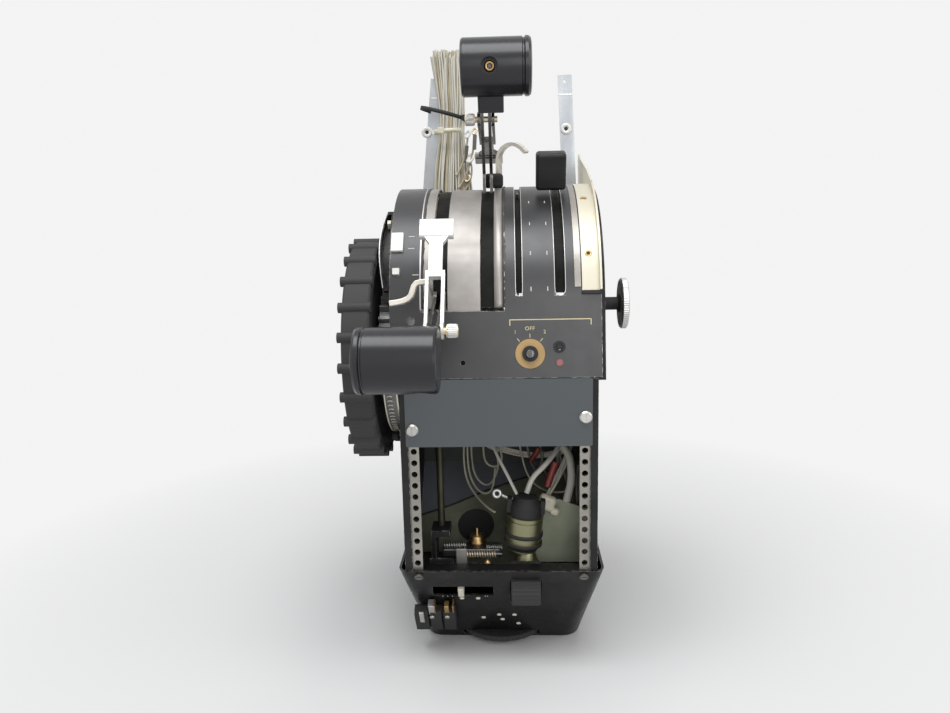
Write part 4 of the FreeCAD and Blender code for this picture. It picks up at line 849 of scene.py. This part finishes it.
def roller_detail():
    """Ribs round the rudder trim roller."""
    roller = hinge_place("rudder_roller_turn")
    low, high = (Vector(corner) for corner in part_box("rudder_trim_roller"))
    radius = (high.z - low.z) / 2
    place = frame_at((0.00825, roller.translation.y, roller.translation.z), (0, 1, 0), (0, 0, 1))
    lathe("roller_ribs", "rudder_roller", place,
          [(radius - 0.001, 0), (radius + 0.0001, 0.0008), (radius + 0.0001, 0.0237),
           (radius - 0.001, 0.0245)],
          "wheel_plastic", 64, 0.0006)


# ---------------------------------------------------------------- equipment bay
def helix(start, end, radius, turns, steps=10):
    """Points of a coil spring from one end to the other."""
    start, end = Vector(start), Vector(end)
    axis = (end - start).normalized()
    side = axis.orthogonal().normalized()
    other = axis.cross(side)
    return [start.lerp(end, step / (turns * steps)) +
            radius * (side * math.cos(math.tau * step / steps) + other * math.sin(math.tau * step / steps))
            for step in range(turns * steps + 1)]


def bay_leads():
    """Leads, sleeves, strap and clamp in the open bay."""
    rng = random.Random(5)
    spine = millimetres((-30, -4, 182), (-18, -18, 168), (-2, -25, 163), (29, -35, 161), (53, -45, 165),
                        (62, -50, 176), (66, -48, 186))
    strands = [[tuple(value + rng.uniform(-0.0028, 0.0028) for value in point) for point in spine]
               for _ in range(12)]
    drop = millimetres((64, -46, 184), (60, -50, 168), (52, -58, 152), (43, -66, 140), (38, -70, 131))
    strands += [[tuple(value + rng.uniform(-0.0024, 0.0024) for value in point) for point in drop]
                for _ in range(7)]
    cable("bay_white_leads", "root", strands, 0.0009, "white_lead", 2)
    loops = [millimetres((-31, -36, 190), (-33, -40, 172), (-33.5, -40, 157), (-31, -45, 141),
                         (-22, -60, 132), (-12, -74, 127), (-5, -82, 126)),
             millimetres((-29, -36, 190), (-30, -38, 172), (-30, -38, 158), (-28, -42, 143), (-20, -56, 134),
                         (-9, -60, 133), (-6, -52, 140), (-5, -44, 152)),
             millimetres((-26, -30, 185), (-28, -30, 152), (-22, -30, 134), (-11, -30, 130), (-6, -30, 138),
                         (-1, -30, 150), (-4, -30, 163), (-8, -30, 184)),
             millimetres((-14, -30, 186), (-18, -31, 158), (-10, -32, 148), (0, -32, 151), (2, -31, 160),
                         (-2, -30, 170), (-4, -30, 186)),
             millimetres((16, -34, 180), (20, -36, 150), (28, -44, 136), (44, -56, 133), (60, -60, 135),
                         (66, -60, 144))]
    cable("bay_loops", "root", loops, 0.0009, "bay_lead", 2)
    falls = [millimetres((50, -50, 186), (52, -52, 160), (60, -56, 142), (61, -58, 124), (66, -60, 104),
                         (68, -62, 120), (65, -60, 146), (68, -60, 160)),
             millimetres((58, -50, 186), (60, -54, 156), (63, -58, 134), (63, -60, 108), (67, -62, 106),
                         (70, -60, 130), (68, -58, 152)),
             millimetres((34, -38, 184), (37, -42, 156), (40, -50, 146), (47, -60, 150), (52, -58, 166),
                         (48, -48, 184)),
             millimetres((22, -32, 184), (25, -36, 160), (30, -42, 148), (35, -50, 150), (38, -46, 168))]
    cable("bay_grey_leads", "root", falls, 0.0011, "grey_lead", 2)
    cable("red_sleeve", "root", [millimetres((47.5, -67, 165), (44, -69, 156), (40, -72, 145))], 0.0033,
          "red_sleeve", 3)
    cable("dark_sleeve", "root", [millimetres((27, -40, 158), (31, -42, 163), (34, -42, 170))], 0.0024,
          "red_sleeve", 3)
    cable("control_rod", "root", [millimetres((-60, -36, 190), (-58, -40, 167), (-52.5, -50, 141),
                                              (-52, -60, 97))], 0.0013, "dark_steel", 2)
    strap = millimetres((-1, -72, 139), (6, -73, 135), (19, -74, 132), (34, -74, 126))
    cable("bonding_strap", "root", [strap], 0.0021, "zinc", 2)
    strap_end = frame_at((-0.003, -0.0745, 0.1400), ACROSS, (0, 0.3, 1))
    lathe("strap_ring", "root", strap_end, [(0.0015, 0), (0.0015, 0.0012), (0.0044, 0.0012), (0.0044, 0),
                                            (0.0015, 0)], "bare_aluminium", 28)
    clamp = Matrix.Translation((0.0395, -0.0740, 0.1315)) @ Matrix.Rotation(0.35, 4, "Y")
    slab("nylon_clamp", "root", clamp, (0.0150, 0.0080, 0.0135), "clear_nylon", 0.0030)
    slab("nylon_clamp_ear", "root", clamp @ Matrix.Translation((0.0090, -0.0010, -0.0050)),
         (0.0080, 0.0060, 0.0070), "clear_nylon", 0.0026)
    lathe("clamp_loop", "root", frame_at((0.0300, -0.0750, 0.1270), ACROSS, (0, 0, 1)),
          [(0.0034, 0), (0.0034, 0.0020), (0.0056, 0.0020), (0.0056, 0), (0.0034, 0)], "white_plastic", 32)


def connector_detail():
    """Dark bands, the open mouth and the cone under the hanging connector."""
    lean = math.radians(5)
    tilt = frame_at((0.017, -0.0865, 0.082), (math.cos(lean), 0, -math.sin(lean)), (0, 1, 0))
    ring = [(0.0154, 0), (0.0163, 0.0006), (0.0163, 0.0030), (0.0154, 0.0036)]
    for name, height in (("lower", 0.0180), ("middle", 0.0262)):
        lathe(f"plug_ring_{name}", "root", tilt @ Matrix.Translation((0, 0, height)), ring,
              "black_plastic", 48)
    lathe("plug_mouth", "root", tilt @ Matrix.Translation((0, 0, 0.0137)),
          [(0.0001, 0.0), (0.0098, 0.0), (0.0128, 0.0010), (0.0150, 0.0042)], "black_plastic", 48)
    lathe("plug_cone", "root", tilt @ Matrix.Translation((0.0045, 0.0, 0.0005)),
          [(0.0102, 0), (0.0098, 0.0030), (0.0062, 0.0125), (0.0058, 0.0136)], "olive_plating", 40)


def mechanism():
    """Worm gear, springs and bracket at the bottom left of the bay."""
    hole = frame_at((-0.0240, -0.0240, 0.0895), ACROSS, (0, 0.763, 0.647))
    # Painted shade: a black disc on the shelf in place of the dark hole that the shaft passes through.
    lathe("shelf_hole_shade", "root", hole @ Matrix.Scale(1, 4) @ Matrix.Translation((0, 0, 0.0012)),
          [(0.0001, 0), (0.0165, 0), (0.0168, 0.0002)], "black_plastic", 40)
    slab("gear_block", "root", Matrix.Translation((-0.026, -0.071, 0.0872)), (0.050, 0.016, 0.0070),
         "dark_steel", 0.001)
    lathe("gear_stud", "root", Matrix.Translation((-0.0215, -0.063, 0.0908)),
          [(0.0001, 0.0135), (0.0014, 0.0130), (0.0014, 0.0080), (0.0052, 0.0070), (0.0064, 0.0050),
           (0.0064, 0.0030), (0.0075, 0.0012), (0.0075, 0)], "brass", 36)
    coils = [helix((-0.050, -0.0735, 0.0925), (-0.031, -0.0735, 0.0925), 0.0028, 9),
             helix((-0.013, -0.0735, 0.0905), (0.001, -0.0735, 0.0900), 0.0026, 8)]
    cable("mechanism_springs", "root", coils, 0.0005, "zinc", 2)
    cable("worm_thread", "root", [helix((-0.030, -0.0800, 0.0868), (-0.004, -0.0800, 0.0868), 0.0024, 12)],
          0.0007, "pin_plating", 2)
    cable("worm_shaft", "root", [millimetres((-34, -80, 86.8), (0, -80, 86.8))], 0.0021, "dark_steel", 3)
    slab("bearing_bracket", "root", Matrix.Translation((-0.0335, -0.0950, 0.0905)), (0.0090, 0.0030, 0.0165),
         "shield_steel", 0.0006)
    lathe("adjuster_tip", "root", Matrix.Translation((-0.0115, -0.0950, 0.0822)),
          [(0.0036, 0), (0.0036, 0.0030), (0.0016, 0.0062), (0.0001, 0.0066)], "brass", 28)
    line = [(-0.0760, -0.0155, 0.0972), (-0.0530, -0.0095, 0.1022), (-0.0360, -0.0035, 0.1072),
            (-0.0230, 0.0015, 0.1114), (0.0100, 0.0120, 0.1203), (0.0600, 0.0240, 0.1305)]
    cable("shelf_seam", "root", [line], 0.0008, "black_plastic", 1)


# ---------------------------------------------------------------- trim panel
def trim_panel_detail():
    """Dots, ticks and terminals on the sloping panel."""
    dots = [(-34, -42), (-20.2, -42), (-16.6, -74.7), (-2.8, -69.8), (0, -77.9), (10.6, -70), (14.1, -85.2)]
    for number, (x, v) in enumerate(dots):
        lathe(f"panel_dot_{number}", "root", panel_place(x * MM, v * MM, 0.00005),
              [(0.0001, 0.0003), (0.0015, 0.0003), (0.0020, 0.0001)], "cream_part", 20)
    for number, x in enumerate((-50, -46, -42, -14, -12)):
        stroke(f"panel_tick_{number}", panel_place(x * MM, -0.0395, INK), (0, 0), (0, 0.0018), 0.0005,
               "pale_ink")
    tabs = [(-68.5, -54, 11, (4, 15, 2), "zinc"), (-60, -47, 5.5, (5, 14, 7), "zinc"),
            (-57, -47, 5.5, (1, 14, 8), "brass"), (-47, -49, 6, (4, 17, 6), "brass"),
            (-41.5, -50, 5, (1.4, 18, 8), "brass")]
    for number, (x, v, lift, size, material) in enumerate(tabs):
        slab(f"terminal_tab_{number}", "root", panel_place(x * MM, v * MM, lift * MM),
             tuple(length * MM for length in size), material, 0.0004)
    for number, x in enumerate((-47, -60)):
        lathe(f"terminal_screw_{number}", "root", panel_place(x * MM, -0.0560, 0.0098),
              [(0.0001, 0.0010), (0.0018, 0.0010), (0.0022, 0.0004), (0.0022, 0)], "zinc", 20)


for finish_name, look in FINISHES.items():
    finish(finish_name, **look)
make_camera()
make_stage()
paint_nodes()
mark_selector()
mark_drum()
drum_detail()
hole_shade()
slot_shade_liners()
slot_edges()
rear_detail()
rib_crest()
control_detail()
left_latch()
arm_gap_shade()
chain_detail()
roller_detail()
bay_leads()
connector_detail()
mechanism()
trim_panel_detail()
